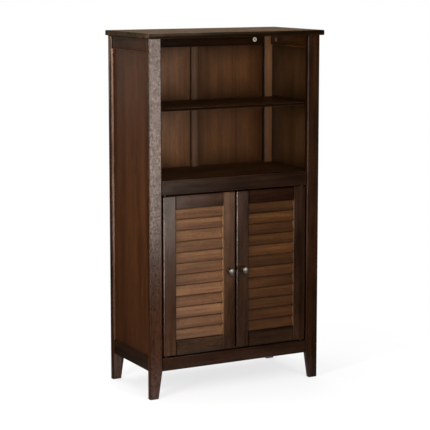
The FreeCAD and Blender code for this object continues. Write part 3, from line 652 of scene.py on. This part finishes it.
def placePiece(
    name, mesh, body, material, along, stands, smoothAngle=smoothUpTo, baysAt=None
):
    if along:
        storeGrain(mesh, along, name, baysAt)
    if not mesh.materials:
        mesh.materials.append(material)
    mesh.shade_smooth()
    weightNormals(mesh, smoothAngle)
    piece = bpy.data.objects.new(name, mesh)
    bpy.context.scene.collection.objects.link(piece)
    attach(piece, body)
    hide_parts(*stands)
    return piece


usualEdge = {
    "profile": 0.38,  # 0.25 is a flat chamfer, 0.5 a quarter circle
    "longSegments": 5,
    "endSegments": 3,
    "sameWay": 0.9,  # the cosine from which two directions count as one
}


# A prism over an outline in the plane across "through", with rounded edges. Edges that run
# along "along" get longRadius, and those round its two end faces get endRadius.
def roundedBoard(
    corners, through, low, high, along, longRadius, endRadius, profile=usualEdge["profile"]
):
    bm = bmesh.new()
    number = axisNumber[through]
    others = [index for index in range(3) if index != number]

    def point(corner, level):
        place = [0.0, 0.0, 0.0]
        place[others[0]], place[others[1]] = corner
        place[number] = level
        return bm.verts.new(place)

    bottom = [point(corner, low) for corner in corners]
    top = [point(corner, high) for corner in corners]
    bm.faces.new(bottom)
    bm.faces.new(reversed(top))
    for index in range(len(corners)):
        following = (index + 1) % len(corners)
        bm.faces.new((bottom[index], top[index], top[following], bottom[following]))
    bmesh.ops.recalc_face_normals(bm, faces=bm.faces)
    lengthwise = unitVector(along)

    def isLengthwise(way):
        return abs(way.dot(lengthwise)) > usualEdge["sameWay"]

    def runsAlong(edge):
        return isLengthwise((edge.verts[1].co - edge.verts[0].co).normalized())

    def bevel(edges, radius, segments):
        if radius > 0:
            bmesh.ops.bevel(
                bm, geom=edges, offset=radius, segments=segments, profile=profile,
                affect="EDGES", clamp_overlap=True,
            )

    bevel([edge for edge in bm.edges if runsAlong(edge)], longRadius, usualEdge["longSegments"])
    ends = [
        edge
        for edge in bm.edges
        if not runsAlong(edge)
        and sum(isLengthwise(face.normal) for face in edge.link_faces) == 1
    ]
    bevel(ends, endRadius, usualEdge["endSegments"])
    return bm


def boxCorners(low, high, through):
    number = axisNumber[through]
    first, second = [index for index in range(3) if index != number]
    return [
        (low[first], low[second]),
        (high[first], low[second]),
        (high[first], high[second]),
        (low[first], high[second]),
    ]


def plainBoard(
    node, body, along, longRadius, endRadius=0.0, box=None, profile=usualEdge["profile"]
):
    low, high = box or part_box(node)
    through = "x" if along != "x" else "y"
    number = axisNumber[through]
    bm = roundedBoard(
        boxCorners(low, high, through), through, low[number], high[number], along,
        longRadius, endRadius, profile,
    )
    addBoard(node, bm, body, along)


# The box of a rail without the tenons at its ends
def betweenTenons(node, along, tenon):
    low, high = [corner.copy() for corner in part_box(node)]
    low[axisNumber[along]] += tenon
    high[axisNumber[along]] -= tenon
    return low, high


# Carcass
carcassLook = {
    "topEdge": 0.0026,
    "topCorner": 0.0022,
    "legEdge": 0.0035,
    "legEnd": 0.0015,
    "railEdge": 0.0022,
    "frontRailEdge": 0.0026,
    "boardEdge": 0.0012,
    "tenon": 0.010,
    "footWidth": 0.030,
    "taperHeight": 0.085,
    "underside": 1.102,
    "cornerAngle": 1,  # degrees, under which two faces of a notched board are one
}


def makeTop():
    low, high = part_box("top_panel")
    bm = roundedBoard(
        boxCorners(low, high, "y"), "y", low.y, high.y, "x",
        carcassLook["topEdge"], carcassLook["topCorner"],
    )
    addBoard("top_panel", bm, "cabinet", "x")


def makeLeg(node):
    low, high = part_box(node)
    top = carcassLook["underside"]
    foot = carcassLook["footWidth"]
    knee = carcassLook["taperHeight"]
    if "left" in node:
        corners = [(low.x, 0), (low.x + foot, 0), (high.x, knee), (high.x, top), (low.x, top)]
    else:
        corners = [(high.x - foot, 0), (high.x, 0), (high.x, top), (low.x, top), (low.x, knee)]
    bm = roundedBoard(
        corners, "y", low.y, high.y, "z", carcassLook["legEdge"], carcassLook["legEnd"]
    )
    addBoard(node, bm, "cabinet", "z")


def makeRails():
    tenon = carcassLook["tenon"]
    for node in ("left_top_side_rail", "left_bottom_side_rail", "right_top_side_rail",
                 "right_bottom_side_rail"):
        box = betweenTenons(node, "y", tenon)
        plainBoard(node, "cabinet", "y", carcassLook["railEdge"], 0, box)
    for node in ("back_top_rail", "back_bottom_rail", "front_middle_rail", "front_bottom_rail"):
        box = betweenTenons(node, "x", tenon)
        radius = carcassLook["frontRailEdge" if "front" in node else "railEdge"]
        plainBoard(node, "cabinet", "x", radius, 0, box)


def makeBoards():
    edge = carcassLook["boardEdge"]
    plainBoard("back_centre_stile", "cabinet", "z", carcassLook["railEdge"])
    plainBoard("adjustable_shelf", "cabinet", "x", edge, edge)
    frontLeg, rearLeg, rightLeg, stile, topRail, bottomRail, shelf, deck, floor = [
        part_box(name)
        for name in ("front_left_leg", "rear_left_leg", "rear_right_leg", "back_centre_stile",
                     "back_top_rail", "back_bottom_rail", "adjustable_shelf", "fixed_shelf",
                     "floor_panel")
    ]
    inside = [(floor[1].z, deck[0].z), (deck[1].z, shelf[0].z), (shelf[1].z, topRail[0].z)]
    outside = [(bottomRail[1].z, topRail[0].z)]
    deep = [(frontLeg[1].y, rearLeg[0].y)]
    wide = [(rearLeg[1].x, rightLeg[0].x)]
    split = [(wide[0][0], stile[0].x), (stile[1].x, wide[0][1])]
    makePanel("left_side_panel", "x", {"y": deep, "z": outside}, {"y": deep, "z": inside})
    makePanel("right_side_panel", "x", {"y": deep, "z": inside}, {"y": deep, "z": outside})
    makePanel("back_panel", "y", {"x": split, "z": inside}, {"x": wide, "z": outside})
    for node in ("fixed_shelf", "floor_panel"):
        makeNotchedBoard(node)


# A thin panel in a frame, with the bays that show on its lower and its upper side along the
# axis through it. Its faces are cut at the bays' ends, so that its wood darkens along the frame
# round each bay: painted shade.
def makePanel(node, through, lowBays, highBays):
    low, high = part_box(node)
    bm = bmesh.new()
    bmesh.ops.create_cube(bm, size=1.0)
    for vertex in bm.verts:
        vertex.co = [(low[axis], high[axis])[vertex.co[axis] > 0] for axis in range(3)]
    for axis in lowBays:
        across = unitVector(axis)
        for value in sorted({end for bay in lowBays[axis] + highBays[axis] for end in bay}):
            bmesh.ops.bisect_plane(
                bm, geom=bm.verts[:] + bm.edges[:] + bm.faces[:], plane_co=across * value,
                plane_no=across,
            )
    number = axisNumber[through]
    middle = (low[number] + high[number]) / 2
    addBoard(
        node, bm, "cabinet", "z",
        lambda place: lowBays if place[number] < middle else highBays,
    )


# The boards with notches follow the CAD outline.
def makeNotchedBoard(node):
    bm = bmesh.new()
    bm.from_mesh(nodes[node].data)
    bmesh.ops.remove_doubles(bm, verts=bm.verts, dist=mergeDistance)
    bmesh.ops.dissolve_limit(
        bm, angle_limit=math.radians(carcassLook["cornerAngle"]), verts=bm.verts, edges=bm.edges
    )
    addBoard(node, bm, "cabinet", "x")


makeTop()
for legNode in ("front_left_leg", "front_right_leg", "rear_left_leg", "rear_right_leg"):
    makeLeg(legNode)
makeRails()
makeBoards()
print("carcass made")

# Doors
doorLook = {
    "outerEdge": 0.0034,
    "outerProfile": 0.3,
    "stileEnd": 0.002,
    "railEdge": 0.0015,
    "tenon": 0.012,
    "slatCount": 12,
    "slatWidth": 0.038,
    "slatThickness": 0.0045,
    "slatRounding": 0.46,  # of its thickness
    "slatRoundingSteps": 5,
    "slatTilt": -20,
    "slatSpread": 0.09,  # of the stain, from slat to slat
    "slatFade": 0.16,  # painted shade: how much darker the slats are at the foot of the door
    "slatRise": 0.8,  # painted light and shade: how much lighter each slat is at its top than at its foot
    "slatUnderside": 0.45,  # painted shade: share of the colour kept where a slat's rounding turns down
    "slatTurned": 0.1,  # the normal's z, under which the rounding counts as turned down
    "slatPowers": (1.0, 1.3, 1.5),  # a darker slat, by stain or by painted shade, loses more green and most blue
    "slatGrainStep": (3.7, 1.3, 2.1),  # metres in the figure, from slat to slat
}


# Slats: one section, drawn along the slat and set up the door in a row. Each slat carries
# its number, which shifts its grain, its stain and its painted shade.
def slatTree():
    nodeTree = bpy.data.node_groups.new("louvreSlats", "GeometryNodeTree")
    face = nodeTree.interface
    face.new_socket("Geometry", in_out="INPUT", socket_type="NodeSocketGeometry")
    for name, kind in (("Count", "Int"), ("Pitch", "Float"), ("Length", "Float"),
                       ("Width", "Float"), ("Thickness", "Float"), ("Rounding", "Float"),
                       ("Tilt", "Float"), ("Start", "Vector"), ("Material", "Material")):
        face.new_socket(name, in_out="INPUT", socket_type="NodeSocket" + kind)
    face.new_socket("Geometry", in_out="OUTPUT", socket_type="NodeSocketGeometry")
    tree = Tree(nodeTree)
    source = tree.node("NodeGroupInput").socket.node
    given = {socket.name: Wire(tree, socket) for socket in source.outputs if socket.name}
    # The section lies in the XY plane, as a rectangle with its corners rounded.
    section = tree.node(
        "GeometryNodeCurvePrimitiveQuadrilateral",
        {"mode": "RECTANGLE"},
        {"Width": given["Thickness"], "Height": given["Width"]},
    )
    rounded = tree.node(
        "GeometryNodeFilletCurve",
        {"mode": "POLY"},
        {"Curve": section, "Radius": given["Thickness"] * given["Rounding"],
         "Count": doorLook["slatRoundingSteps"]},
    )
    # The path runs along X.
    end = tree.node("ShaderNodeCombineXYZ", {}, {"X": given["Length"]})
    path = tree.node("GeometryNodeCurvePrimitiveLine", {"mode": "POINTS"}, {"End": end})
    bar = tree.node(
        "GeometryNodeCurveToMesh", {}, {"Curve": path, "Profile Curve": rounded, "Fill Caps": True}
    )
    # The bar leans over with its lower edge at the front.
    lean = tree.node("ShaderNodeCombineXYZ", {}, {"X": given["Tilt"]})
    leant = tree.node("GeometryNodeTransform", {}, {"Geometry": bar, "Rotation": lean})
    step = tree.node("ShaderNodeCombineXYZ", {}, {"Z": given["Pitch"]})
    row = tree.node(
        "GeometryNodeMeshLine",
        {"mode": "OFFSET"},
        {"Count": given["Count"], "Start Location": given["Start"], "Offset": step},
    )
    number = tree.node("GeometryNodeInputIndex")
    numbered = tree.node(
        "GeometryNodeStoreNamedAttribute",
        {"data_type": "FLOAT", "domain": "POINT"},
        {"Geometry": row, "Name": "slatNumber", "Value": number},
    )
    placed = tree.node("GeometryNodeInstanceOnPoints", {}, {"Points": numbered, "Instance": leant})
    real = tree.node("GeometryNodeRealizeInstances", {}, {"Geometry": placed})
    dressed = tree.node(
        "GeometryNodeSetMaterial", {}, {"Geometry": real, "Material": given["Material"]}
    )
    tree.node("NodeGroupOutput", {}, {"Geometry": dressed})
    return nodeTree


def runTree(nodeTree, values, name):
    carrier = bpy.data.objects.new(name + "Carrier", bpy.data.meshes.new(name + "Carrier"))
    bpy.context.scene.collection.objects.link(carrier)
    modifier = carrier.modifiers.new("nodes", "NODES")
    modifier.node_group = nodeTree
    identifiers = {
        item.name: item.identifier
        for item in nodeTree.interface.items_tree
        if item.item_type == "SOCKET" and item.in_out == "INPUT"
    }
    for key, value in values.items():
        modifier[identifiers[key]] = value
    bpy.context.view_layer.update()
    depsgraph = bpy.context.evaluated_depsgraph_get()
    mesh = bpy.data.meshes.new_from_object(carrier.evaluated_get(depsgraph))
    mesh.name = name
    bpy.data.objects.remove(carrier)
    return mesh


# Gives each slat its own stretch of grain and its own stain, with painted shade: darker
# towards the foot of the door, towards each slat's foot and where its rounding turns down
def varySlats(mesh, firstMiddle, pitch):
    chance = random.Random(mesh.name)
    count, spread = doorLook["slatCount"], doorLook["slatSpread"]
    shares = [
        1.0 + chance.uniform(-spread, spread) - doorLook["slatFade"] * (1 - number / count)
        for number in range(count)
    ]
    numbers = [round(entry.value) for entry in mesh.attributes["slatNumber"].data]
    for number, entry in zip(numbers, mesh.attributes["grain"].data):
        entry.vector = entry.vector + Vector([number * step for step in doorLook["slatGrainStep"]])
    for number, vertex, entry in zip(numbers, mesh.vertices, mesh.attributes["tone"].data):
        # Painted light and shade: lighter towards a slat's top, darker where its rounding turns down
        height = (vertex.co.z - firstMiddle - number * pitch) / doorLook["slatWidth"]
        share = shares[number] * (1.0 + doorLook["slatRise"] * height)
        if vertex.normal.y < 0 and vertex.normal.z < doorLook["slatTurned"]:
            share *= doorLook["slatUnderside"]
        entry.vector = [
            channel * share ** power for channel, power in zip(entry.vector, doorLook["slatPowers"])
        ]


def makeDoor(side, slats):
    body = side + "_door"
    for role in ("hinge", "latch"):
        plainBoard(
            "%s_%s_stile" % (body, role), body, "z", doorLook["outerEdge"], doorLook["stileEnd"],
            None, doorLook["outerProfile"],
        )
    for level in ("top", "bottom"):
        node = "%s_%s_rail" % (body, level)
        box = betweenTenons(node, "x", doorLook["tenon"])
        plainBoard(node, body, "x", doorLook["railEdge"], 0, box)
    makeSlats(body, slats)


def makeSlats(body, slats):
    names = ["%s_slat_%02d" % (body, number + 1) for number in range(doorLook["slatCount"])]
    low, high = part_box(names[0])
    middle = (low + high) / 2
    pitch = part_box(names[1])[0].z - low.z
    values = {
        "Count": doorLook["slatCount"],
        "Pitch": pitch,
        "Length": high.x - low.x,
        "Width": doorLook["slatWidth"],
        "Thickness": doorLook["slatThickness"],
        "Rounding": doorLook["slatRounding"],
        "Tilt": math.radians(doorLook["slatTilt"]),
        "Start": (low.x, middle.y, middle.z),
        "Material": materials["slatWood"],
    }
    mesh = runTree(slats, values, body + "_slats")
    storeGrain(mesh, "x", mesh.name)
    varySlats(mesh, middle.z, pitch)
    placePiece(body + "_slats", mesh, body, materials["slatWood"], None, names)


# Knob: a lathe profile, as (distance from the door, radius)
knobLook = {
    "profile": [
        (0.0, 0.0), (0.0, 0.0073), (0.0011, 0.0075), (0.0018, 0.0071), (0.0026, 0.0061),
        (0.0040, 0.0053), (0.0062, 0.0048), (0.0090, 0.0047), (0.0115, 0.0051),
        (0.0134, 0.0062), (0.0150, 0.0081), (0.0163, 0.0097), (0.0177, 0.0104),
        (0.0190, 0.0105), (0.0203, 0.0101), (0.0216, 0.0089), (0.0228, 0.0068),
        (0.0236, 0.0042), (0.0240, 0.0),
    ],
    "segments": 48,
    "smoothAngle": 50,
}


# A surface turned about the frame's z axis. The profile's points are (height, radius), and
# a radius of 0 closes it.
def addTurned(bm, profile, frameAt, segments):
    loops = []
    for height, radius in profile:
        count = segments if radius else 1
        loops.append([
            bm.verts.new(frameAt @ Vector((
                radius * math.cos(2 * math.pi * step / segments),
                radius * math.sin(2 * math.pi * step / segments),
                height,
            )))
            for step in range(count)
        ])
    for ring, following in zip(loops, loops[1:]):
        for step in range(segments):
            after = (step + 1) % segments
            corners = (ring[step % len(ring)], following[step % len(following)],
                       following[after % len(following)], ring[after % len(ring)])
            bm.faces.new(list(dict.fromkeys(corners)))
    return loops


def makeKnob(side):
    node = side + "_knob"
    low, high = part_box(node)
    centre = (low + high) / 2
    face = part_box("%s_door_latch_stile" % side)[0].y
    frameAt = Matrix.Translation((centre.x, face, centre.z)) @ Matrix.Rotation(math.pi / 2, 4, "X")
    bm = bmesh.new()
    addTurned(bm, knobLook["profile"], frameAt, knobLook["segments"])
    addPiece("metal_" + node, bm, side + "_door", materials["satinNickel"],
             None, (node,), knobLook["smoothAngle"])


louvreTree = slatTree()
for doorSide in ("left", "right"):
    makeDoor(doorSide, louvreTree)
    makeKnob(doorSide)
print("doors made")

# Cam fittings: a bevelled disc with a cross recess, a hair proud of the rail, and its bolt
camLook = {
    "radius": 0.0075,
    "bevel": 0.0006,
    "proud": 0.0004,
    "depth": 0.011,
    "crossLength": 0.0085,
    "crossWidth": 0.0017,
    "crossDepth": 0.0018,
    "boltRadius": 0.003,
    "boltSegments": 16,
    "segments": 40,
    "turn": 20,  # of the cross, in degrees
}


# The separate solids of a node, as boxes
def solidBoxes(node):
    bm = bmesh.new()
    bm.from_mesh(nodes[node].data)
    bmesh.ops.remove_doubles(bm, verts=bm.verts, dist=mergeDistance)
    waiting = set(bm.verts)
    boxes = []
    while waiting:
        group, edge = set(), [waiting.pop()]
        while edge:
            vertex = edge.pop()
            group.add(vertex)
            for link in vertex.link_edges:
                other = link.other_vert(vertex)
                if other in waiting:
                    waiting.discard(other)
                    edge.append(other)
        places = [vertex.co for vertex in group]
        boxes.append((
            Vector([min(place[axis] for place in places) for axis in range(3)]),
            Vector([max(place[axis] for place in places) for axis in range(3)]),
        ))
    bm.free()
    return sorted(boxes, key=lambda box: tuple(box[0]))


# A cam whose face is at the frame's origin, looking along its z axis
def addCam(bm, frameAt):
    radius, depth, proud = camLook["radius"], camLook["depth"], camLook["proud"]
    bevel = camLook["bevel"]
    profile = [(proud, radius - bevel), (proud - bevel, radius), (-depth, radius), (-depth, 0.0)]
    loops = addTurned(bm, profile, frameAt, camLook["segments"])
    long, short = camLook["crossLength"] / 2, camLook["crossWidth"] / 2
    cross = [
        (long, -short), (long, short), (short, short), (short, long), (-short, long),
        (-short, short), (-long, short), (-long, -short), (-short, -short), (-short, -long),
        (short, -long), (short, -short),
    ]
    upper, lower = [
        [bm.verts.new(frameAt @ Vector((x, y, level))) for x, y in cross]
        for level in (proud, proud - camLook["crossDepth"])
    ]
    bm.faces.new(lower)
    for step in range(len(cross)):
        after = (step + 1) % len(cross)
        bm.faces.new((upper[step], upper[after], lower[after], lower[step]))
    edges = []
    for loop in (loops[0], upper):
        for step, vertex in enumerate(loop):
            after = loop[(step + 1) % len(loop)]
            edges.append(bm.edges.get((vertex, after)) or bm.edges.new((vertex, after)))
    bmesh.ops.triangle_fill(bm, use_beauty=True, use_dissolve=False, edges=edges)


def makeCams():
    bm = bmesh.new()
    cross = Matrix.Rotation(math.radians(camLook["turn"]), 4, "Z")
    for low, high in solidBoxes("cam_fittings"):
        centre, size = (low + high) / 2, high - low
        if size.z > 2 * size.x:  # a bolt
            radius = camLook["boltRadius"]
            profile = [(0, 0), (0, radius), (size.z, radius), (size.z, 0)]
            frameAt = Matrix.Translation((centre.x, centre.y, low.z))
            addTurned(bm, profile, frameAt, camLook["boltSegments"])
            continue
        if size.x < size.y:  # in a side rail, its face towards the middle
            face = Vector((high.x if centre.x < 0 else low.x, centre.y, centre.z))
            outward = Vector((1.0 if centre.x < 0 else -1.0, 0, 0))
        else:
            face = Vector((centre.x, low.y, centre.z))
            outward = Vector((0, -1.0, 0))
        turn = outward.to_track_quat("Z", "Y").to_matrix().to_4x4()
        known = set(bm.faces)
        addCam(bm, Matrix.Translation(face) @ turn @ cross)
        for made in set(bm.faces) - known:
            # Cams in the side rails take the darker zinc, painted shade
            made.material_index = int(outward.x != 0)
    cams = addPiece("metal_cam_fittings", bm, "cabinet", materials["castZinc"], None,
                    ("cam_fittings",))
    cams.data.materials.append(materials["brownZinc"])


makeCams()
print("cams made")

# Nodes that keep their own mesh
keptFinish = {
    "shelf_pins": "platedSteel",
    "pivot_pins": "darkSteel",
    "left_strike_plate": "platedSteel",
    "right_strike_plate": "platedSteel",
    "magnetic_catch": "brownPlastic",
}
for node, finish in keptFinish.items():
    slots = nodes[node].data.materials
    for number in range(len(slots)):
        slots[number] = materials[finish]

# Floor, backdrop and light
white = (1.0, 1.0, 1.0, 1.0)
stageLook = {
    "floorColour": (0.88, 0.90, 0.95),
    "floorSize": 30,  # metres, from its middle to its edge
    "whiteNear": 0.70,  # share of the floor that no shadow darkens, as the camera sees it
    "nearDistance": 0.55,
    "farDistance": 1.0,  # from here on the floor is plain white
    "mirroredNear": (0.7, 0.7, 0.68),  # the floor as glossy faces show it
    "mirroredFar": (0.05, 0.045, 0.04),
    "mirroredRange": (0.38, 0.62),  # metres from the middle, where the one turns into the other
    "ambient": 0.40,
    "reflected": 0.04,
}


def makeFloor():
    bm = bmesh.new()
    bmesh.ops.create_grid(bm, x_segments=1, y_segments=1, size=stageLook["floorSize"])
    mesh = bpy.data.meshes.new("floor")
    bm.to_mesh(mesh)
    bm.free()
    floor = bpy.data.objects.new("floor", mesh)
    bpy.context.scene.collection.objects.link(floor)
    material, tree = newMaterial("paleFloor")
    matt = tree.node(
        "ShaderNodeBsdfDiffuse", {}, {"Color": (*stageLook["floorColour"], 1.0)}
    )
    glow = tree.node("ShaderNodeEmission", {}, {"Color": white, "Strength": 1.0})
    seen = tree.node("ShaderNodeLightPath", {}, {}, "Is Camera Ray")
    mirrored = tree.node("ShaderNodeLightPath", {}, {}, "Is Glossy Ray")
    place = tree.node("ShaderNodeTexCoord", {}, {}, "Object")
    flat = tree.vectorMath("MULTIPLY", place, (1.0, 1.0, 0.0))
    distance = tree.node("ShaderNodeVectorMath", {"operation": "LENGTH"}, {0: flat}, "Value")
    share = tree.remap(
        distance, stageLook["nearDistance"], stageLook["farDistance"], stageLook["whiteNear"], 1.0
    )
    plain = tree.node("ShaderNodeMixShader", {}, {0: seen * share, 1: matt, 2: glow})
    shown = tree.ramp(
        tree.remap(distance, *stageLook["mirroredRange"], 0.0, 1.0),
        [(0.0, stageLook["mirroredNear"]), (1.0, stageLook["mirroredFar"])],
    )
    dim = tree.node("ShaderNodeEmission", {}, {"Color": shown, "Strength": 1.0})
    mixed = tree.node("ShaderNodeMixShader", {}, {0: mirrored, 1: plain, 2: dim})
    tree.node("ShaderNodeOutputMaterial", {}, {"Surface": mixed})
    mesh.materials.append(material)


def makeWorld():
    world = bpy.data.worlds.new("studio")
    bpy.context.scene.world = world
    world.use_nodes = True
    world.node_tree.nodes.clear()
    tree = Tree(world.node_tree)
    seen = tree.node("ShaderNodeLightPath", {}, {}, "Is Camera Ray")
    mirrored = tree.node("ShaderNodeLightPath", {}, {}, "Is Glossy Ray")
    strength = (
        stageLook["ambient"]
        + seen * (1.0 - stageLook["ambient"])
        + mirrored * (stageLook["reflected"] - stageLook["ambient"])
    )
    sky = tree.node("ShaderNodeBackground", {}, {"Color": white, "Strength": strength})
    tree.node("ShaderNodeOutputWorld", {}, {"Surface": sky})


# Soft boxes: their centres, what they face and their sizes, in metres
softBoxes = {
    "frontBox": {"place": (0.02, -1.8, 0.95), "target": (0.0, 0.0, 0.85), "size": (1.35, 1.6),
                 "radiance": 5.6, "colour": (1.0, 0.94, 0.86)},
    "leftBox": {"place": (-1.75, -1.3, 1.40), "target": (0.0, 0.0, 0.8), "size": (0.9, 1.2),
                "radiance": 3.5, "colour": (1.0, 0.94, 0.86)},
    "leftStrip": {"place": (-1.35, -0.75, 0.90), "target": (-0.25, -0.12, 0.90), "size": (0.12, 1.75),
                  "radiance": 26.0, "colour": (1.0, 0.93, 0.86)},
    "rearLeftBox": {"place": (-1.4, 2.2, 1.2), "target": (-0.3, 0.0, 0.8), "size": (1.2, 1.1),
                    "radiance": 1.6, "colour": (1.0, 0.95, 0.88)},
    "topBox": {"place": (-0.2, 0.9, 2.9), "target": (0.0, 0.0, 0.0), "size": (2.4, 2.4),
               "radiance": 3.0, "colour": (1.0, 0.97, 0.93)},
    "rearBox": {"place": (1.3, 2.5, 1.75), "target": (0.0, 0.0, 1.1), "size": (2.6, 1.1),
                "radiance": 0.9, "colour": (1.0, 0.84, 0.62)},
}


def makeLight(name, look):
    light = bpy.data.lights.new(name, "AREA")
    light.shape = "RECTANGLE"
    light.size, light.size_y = look["size"]
    light.energy = look["radiance"] * math.pi * light.size * light.size_y
    light.color = look["colour"]
    lamp = bpy.data.objects.new(name, light)
    lamp.location = look["place"]
    way = Vector(look["place"]) - Vector(look["target"])
    lamp.rotation_mode = "QUATERNION"
    lamp.rotation_quaternion = way.to_track_quat("Z", "Y")
    lamp.visible_camera = False
    bpy.context.scene.collection.objects.link(lamp)


makeFloor()
makeWorld()
for boxName, boxLook in softBoxes.items():
    makeLight(boxName, boxLook)
print("stage made")

# Camera
cameraLook = {
    "place": (-2.273, -4.2544, 1.3074),
    "heading": 28.093,  # degrees to the right of straight back
    "dip": 8.009,  # degrees under level
    "focalPixels": 1536.6,
    "horizonShift": -30.0,  # pixels
    "imageSize": 430,
    "sensorWidth": 36.0,  # millimetres
    "farthest": 100.0,
}


def makeCamera():
    data = bpy.data.cameras.new("camera")
    data.sensor_width = cameraLook["sensorWidth"]
    data.lens = data.sensor_width * cameraLook["focalPixels"] / cameraLook["imageSize"]
    data.shift_y = cameraLook["horizonShift"] / cameraLook["imageSize"]
    data.clip_end = cameraLook["farthest"]
    camera = bpy.data.objects.new("camera", data)
    camera.location = cameraLook["place"]
    camera.rotation_euler = Euler((
        math.radians(90.0 - cameraLook["dip"]), 0.0, math.radians(-cameraLook["heading"])
    ))
    bpy.context.scene.collection.objects.link(camera)
    bpy.context.scene.camera = camera


makeCamera()
bpy.context.scene.view_settings.view_transform = "Standard"
